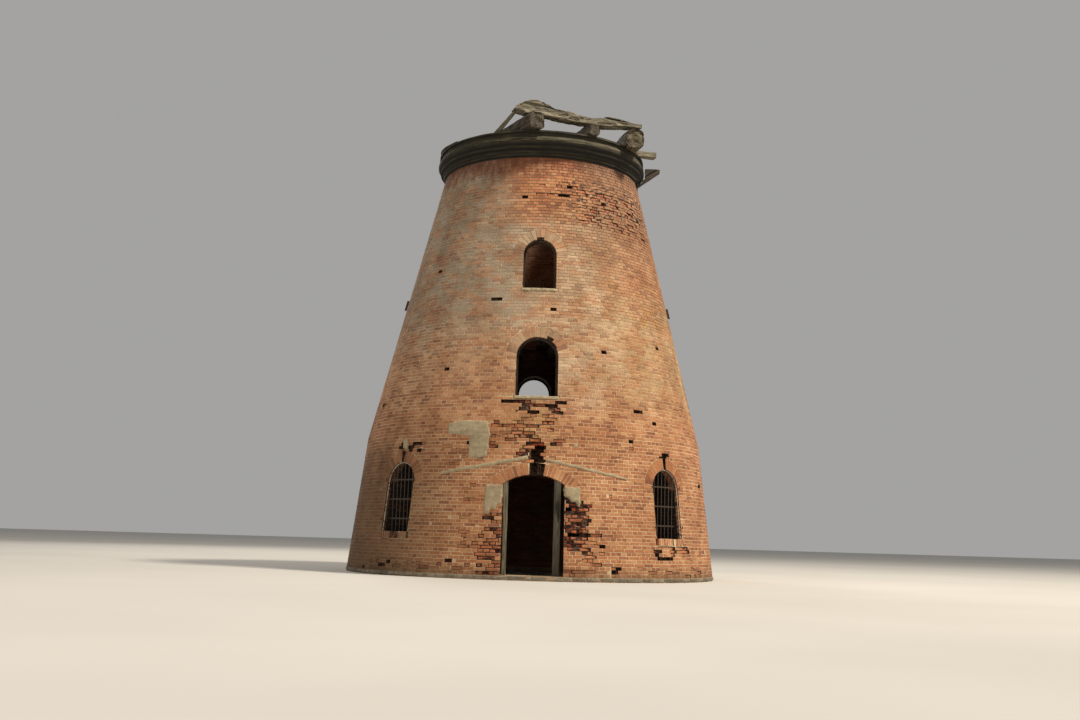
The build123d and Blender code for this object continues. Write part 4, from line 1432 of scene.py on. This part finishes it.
timbers = (
    # node, direction, finish, voxel, relief, cracks, torn ends, chips, deepest crack
    ("left_cap_timber", heading(27), damp_oak, 0.02, 0.014, 8, 0.06, 0.01),
    ("middle_cap_timber", heading(22), damp_oak, 0.016, 0.008, 5, 0.04, 0.008, 0.03),
    ("right_cap_timber", heading(14), brown_oak, 0.018, 0.014, 8, 0.07, 0.02),
    ("weather_beam", heading(106), oak, 0.012, 0.014, 18, 0.03, 0.02, 0.038),
    ("cap_strut", (0.25, -0.3, 0.5), oak, 0.01, 0.003, 2, 0.02, 0.0, 0.012),
    ("plank_stub", heading(104), oak, 0.012, 0.005, 3, 0.05, 0.0, 0.015),
    ("bracket_stub", heading(88, 0.6), damp_oak, 0.012, 0.006, 3, 0.04, 0.0, 0.02),
    ("front_door_posts", (0, 0, 1), posts, 0.013, 0.005, 8, 0.01),
)
for timber in timbers:
    carved_timber(*timber)

# %% [markdown]
# ## The wooden cornice
# Two rings of curved oak pieces crown the wall, worked to a moulding: a bead, a cove, a band, a
# half round, a fascia and a thin lip. The imported mouldings are right already, so they are kept, and
# only their corners are moved, piece by piece, as the joints have opened in a hundred years. The
# wood is nearly black with damp and green with moss where water stands. Along the crests run pale
# lines of lichen with a painted highlight, and painted shade makes the undersides black.

# %% Finish: mossy cornice timber
cornice, tree, place = new_finish("mossy_black_oak_cornice", 0.9)
along_ring = add(tree, "Attribute", result="Vector", attribute_name="grain")
fibres = clouds(tree, along_ring, 0.02, 4, (0.05, 1, 1))
dark = add(tree, "ValToRGB", [fibres],
           stops=((0.35, "#18140D"), (0.55, "#2F2919"), (0.75, "#4E462F")))
upward = add(tree, "SeparateXYZ", [add(tree, "NewGeometry", result="Normal")], 2)
damp = (clouds(tree, place, 0.16, 5), 0.3, 0.6)
green = stain(tree, dark, "#4F4A33", 0.55, (upward, 0.0, 0.6), damp)
# Crests that do not face down get pale lichen lines with a painted highlight
crest = (add(tree, "SeparateXYZ", [along_ring], 1), 2.59, 2.66)
lichen_and_highlight_lines = (clouds(tree, along_ring, 0.03, 4, (0.05, 1, 1)), 0.55, 0.68)
pale = stain(tree, green, "#857C5C", 0.6, crest, (upward, -0.35, 0.1), lichen_and_highlight_lines)
# Faces turned down are painted near black, as shade
dress(tree, stain(tree, pale, "#0F0D09", 1.0, (upward, -0.2, -0.8)), fibres, 0.006)


# %% Cornice rings
ring_reach, pieces_in_a_ring = 2.6, 8


def old_ring(node, first_joint, name):
    """A ring of the cornice whose pieces have moved and weathered"""
    shape = plain_shape(node)
    long_edges = [e for e in shape.edges if e.calc_length() > 0.07]
    bmesh.ops.subdivide_edges(shape, edges=long_edges, cuts=1)
    shift = [(random.uniform(-0.012, 0.0), random.uniform(-0.004, 0.004))
             for _ in range(pieces_in_a_ring)]
    vectors = []
    for corner in shape.verts:
        p = corner.co
        radius, azimuth = math.hypot(p.x, p.y), math.degrees(math.atan2(p.x, -p.y))
        vectors.append((math.radians(azimuth) * ring_reach, radius, p.z))
        number = int(((azimuth - first_joint) % 360) // (360 / pieces_in_a_ring))
        wave = noise.noise(Vector((p.x * 2.2, p.y * 2.2, p.z * 3)))
        fine = noise.noise(Vector((p.x * 9, p.y * 9, p.z * 14)))
        outward_share = 1.0 if radius > 2.3 else 0.3
        out = (shift[number][0] + 0.008 * wave + 0.005 * fine - 0.006) * outward_share
        p.x, p.y = p.x * (1 + out / radius), p.y * (1 + out / radius)
        p.z += shift[number][1] * outward_share * (0.5 if "lower" in node else 1.0)
    mesh = as_mesh(shape, name)
    directions = np.array(vectors).ravel()
    mesh.attributes.new("grain", "FLOAT_VECTOR", "POINT").data.foreach_set("vector", directions)
    show(name, mesh, [cornice], "cornice_timber", node)


old_ring("cornice_lower_ring", 0, "cornice_lower_ring_mouldings")
old_ring("cornice_upper_ring", 22.5, "cornice_upper_ring_mouldings")

# %% [markdown]
# The pieces of a ring are held in line by loose tongues of the same oak, which close the joints
# that have opened between them. Only a dark line of each one shows, so they are plain blocks.

# %% Tongues in the joints
tongues = []
inner_end, outer_end, half_width, inset = 2.3, 2.43, 0.05, 0.03
plan = ((inner_end, -half_width), (inner_end, half_width), (outer_end, half_width),
        (outer_end, -half_width))
for node, first_joint in (("cornice_lower_ring", 0), ("cornice_upper_ring", 22.5)):
    low, high = (corner.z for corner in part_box(node))
    for k in range(pieces_in_a_ring):
        azimuth = first_joint + 360 / pieces_in_a_ring * k
        ends = [on_wall_line(azimuth, across, out)[:2] for out, across in plan]
        corners = [(x, y, z) for z in (low + inset, high - inset) for x, y in ends]
        faces = [(0, 1, 2, 3), (7, 6, 5, 4)]
        faces += [(i, i + 4, (i + 1) % 4 + 4, (i + 1) % 4) for i in range(4)]
        tongues.append({"corners": corners, "faces": faces})
make_piece("cornice_joint_tongues", tongues, [cornice], "cornice_timber")

# %% [markdown]
# At the left the thin board on top of the ring has sprung loose and its end stands up clear of
# the ring. A straight board could be bent by a modifier, but one that is built section by section
# follows the ring exactly while it lifts. At the right a splinter hangs down from under the bead,
# a rod that thins out.

# %% Loose board and splinter
ring_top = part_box("cornice_upper_ring")[1].z
ring_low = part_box("cornice_lower_ring")[0].z


def bent_board(azimuths, rises, inner_radius, outer_radius, thick):
    """A thin curved board on the ring that lifts along its length"""
    section = ((inner_radius, 0), (outer_radius, 0), (outer_radius, thick), (inner_radius, thick))
    corners, faces = [], []
    for azimuth, rise in zip(azimuths, rises):
        for radius, height in section:
            x, y, _ = on_wall_line(azimuth, 0, radius + random.uniform(-0.004, 0.004))
            corners.append((x, y, ring_top + rise + height))
    for i in range(len(azimuths) - 1):
        for k in range(4):
            a, b = 4 * i + k, 4 * i + (k + 1) % 4
            faces.append((a, a + 4, b + 4, b))
    faces += [(0, 1, 2, 3), tuple(4 * len(azimuths) - 1 - k for k in range(4))]
    return {"corners": corners, "faces": faces}


steps = np.linspace(0, 1, 14)
board = bent_board(-54 - 40 * steps, 0.19 * steps**1.6, 2.49, 2.61, 0.035)
splinter_path = [placed(77, 0, 2.5, ring_low + 0.07), placed(77.5, 0, 2.49, ring_low - 0.07),
                 placed(78.5, 0, 2.5, ring_low - 0.2)]
splinter = rod(splinter_path, [0.028, 0.02, 0.005], 5, 0.5)
make_piece("loose_cornice_board", [board, splinter], [cornice], "cornice_timber")

# %% [markdown]
# ## Windows and floors
# Dark oak linings follow the heads of the upper windows. They and the beams keep their packed
# shape and only get a finish. The floors are softwood boards, a hand and a half wide, grey with
# dust. Their gaps and cut ends show, so they are laid board by board, and those of the upper floor
# have rotted through at the back.

# %% Linings and beams
wood = ("#33271B", "#5C4934", "#7D6A50")
linings = timber_finish("dark_oak_linings", "#17110C", "#33271C", "#54422F", "frame", (1, 1, 0.08))
along_x = timber_finish("dusty_softwood_along_x", *wood, "frame", (0.06, 1, 1))
along_y = timber_finish("dusty_softwood_along_y", *wood, "frame", (1, 0.06, 1))
refinish("first_window_frames", linings)
refinish("second_window_frames", linings)
refinish("first_floor_beams", along_x)
refinish("second_floor_beams", along_y)

# %% Floor boards
def boards(node, along, hole=None):
    """Boards side by side over a round floor, each a closed block with its ends cut to the wall"""
    low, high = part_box(node)
    radius, bottom, top = high.x - 0.002, low.z, high.z
    corners, faces = [], []
    across = -radius
    while across < radius - 0.03:
        edge = min(across + random.uniform(0.15, 0.2), radius)
        middle = (across + edge) / 2
        ends = [math.sqrt(max(radius**2 - d**2, 0)) for d in (across, middle, edge)]
        starts = tuple(-end for end in ends)
        runs = [[starts, tuple(reversed(ends))]]
        if hole and across > hole[2] - 0.05:
            left, right = hole[0] - random.uniform(0, 0.04), hole[1] + random.uniform(0, 0.04)
            runs = [[starts, (left - 0.01, left, left - 0.02)],
                    [(right, right + 0.015, right), tuple(reversed(ends))]]
        lift = random.uniform(-0.003, 0.0)
        for start, end in runs:
            d = (across + 0.003, middle, edge - 0.003)
            ring = [(end[k], d[2 - k]) for k in range(3)] + [(start[k], d[k]) for k in range(3)]
            ring = [(a, b) if along == "x" else (b, a) for a, b in ring]
            ring = ring if area(ring) > 0 else ring[::-1]
            first, size = len(corners), len(ring)
            corners += [(x, y, bottom) for x, y in ring] + [(x, y, top + lift) for x, y in ring]
            faces.append(tuple(first + k for k in reversed(range(size))))
            faces.append(tuple(first + size + k for k in range(size)))
            for k in range(size):
                n = (k + 1) % size
                faces.append((first + k, first + n, first + size + n, first + size + k))
        across = edge
    return {"corners": corners, "faces": faces}


rotted_through = (-0.32, 0.0, 0.9)
lower_boards = boards("first_floor_planks", "y")
make_piece("first_floor_boards", [lower_boards], [along_y], "floor_timber", "first_floor_planks")
upper_boards = boards("second_floor_planks", "x", rotted_through)
make_piece("second_floor_boards", [upper_boards], [along_x], "floor_timber", "second_floor_planks")

# %% [markdown]
# ## Light, floor and camera
# The light is that of a plain studio: a large soft key from the upper right in front, a weak wide
# fill from the left, another lamp from behind, and a pale surround. A sun lamp would be simpler,
# but its hard shadows would hide the worn brick. The floor is a plain pale plane under the
# foundation.

# %% Studio floor
pale_floor, tree, place = new_finish("pale_studio_floor", 0.9)
cloudy = clouds(tree, place, 6.0, 2)
dress(tree, add(tree, "ValToRGB", [cloudy], stops=((0.3, "#B5B2AC"), (0.7, "#BCB9B3"))))
reach = 150.0
plane = bpy.data.meshes.new("studio_floor")
floor_corners = [(x, y, 0) for x, y in rectangle(-reach, reach, -reach, reach)]
plane.from_pydata(floor_corners, [], [(0, 1, 2, 3)])
plane.materials.append(pale_floor)
studio_floor = bpy.data.objects.new("studio_floor", plane)
bpy.context.scene.collection.objects.link(studio_floor)
studio_floor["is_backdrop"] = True

# %% Light
def area_light(name, place, target, size, power, colour):
    """A square lamp at a place that shines towards a target"""
    lamp = bpy.data.lights.new(name, "AREA")
    lamp.size, lamp.energy, lamp.color = size, power, paint(colour)[:3]
    made = bpy.data.objects.new(name, lamp)
    made.location = place
    made.rotation_euler = (Vector(target) - Vector(place)).to_track_quat("-Z", "Y").to_euler()
    bpy.context.scene.collection.objects.link(made)
    print(name, size, "m wide", power, "W")


area_light("key_light", (20.1, -10.7, 41.5), (0, 0, 5), 5, 28200, "#FFF4E3")
area_light("fill_light", (-12, -30, 12), (0, 0, 5), 14, 1800, "#FFF4E6")
area_light("back_light", (-14, 28, 22), (0, 0, 6), 12, 4000, "#FFF6EA")
world = bpy.data.worlds.new("pale_surround")
world.use_nodes = True
surround = world.node_tree.nodes["Background"].inputs
surround["Color"].default_value = paint("#DFDEDC")
surround["Strength"].default_value = 0.5
bpy.context.scene.world = world

# %% [markdown]
# The camera stands thirty metres in front of the door, at the height of someone who crouches, and
# looks up. It is tipped a little, so the tower leans slightly in the picture. Its three directions
# are worked out from its angles, which is easier to read than a list of turns.

# %% Camera
camera_place = (-0.257, -29.493, 0.901)
sight, pitch, roll = math.radians(0.7), 0.1495, 0.029
level_share = math.cos(pitch)
forward = Vector((math.sin(sight) * level_share, math.cos(sight) * level_share, math.sin(pitch)))
level = Vector((math.cos(sight), -math.sin(sight), 0))
upward = level.cross(forward)
right = math.cos(roll) * level + math.sin(roll) * upward
above = -math.sin(roll) * level + math.cos(roll) * upward
lens = bpy.data.cameras.new("low_front_camera")
lens.lens, lens.sensor_width, lens.clip_end = 39.33, 36.0, 600
camera = bpy.data.objects.new("low_front_camera", lens)
columns = Matrix((right, above, -forward)).transposed()
camera.matrix_world = Matrix.Translation(camera_place) @ columns.to_4x4()
bpy.context.scene.collection.objects.link(camera)
bpy.context.scene.camera = camera
bpy.context.scene.view_settings.view_transform = "Standard"
print("camera:", camera_place, "lens:", lens.lens, "mm")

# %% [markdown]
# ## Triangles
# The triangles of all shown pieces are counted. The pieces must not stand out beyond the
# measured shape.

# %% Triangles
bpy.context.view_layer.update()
meshes = [made.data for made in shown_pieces() if made.type == "MESH"]
print("triangles:", sum(len(p.vertices) - 2 for mesh in meshes for p in mesh.polygons))
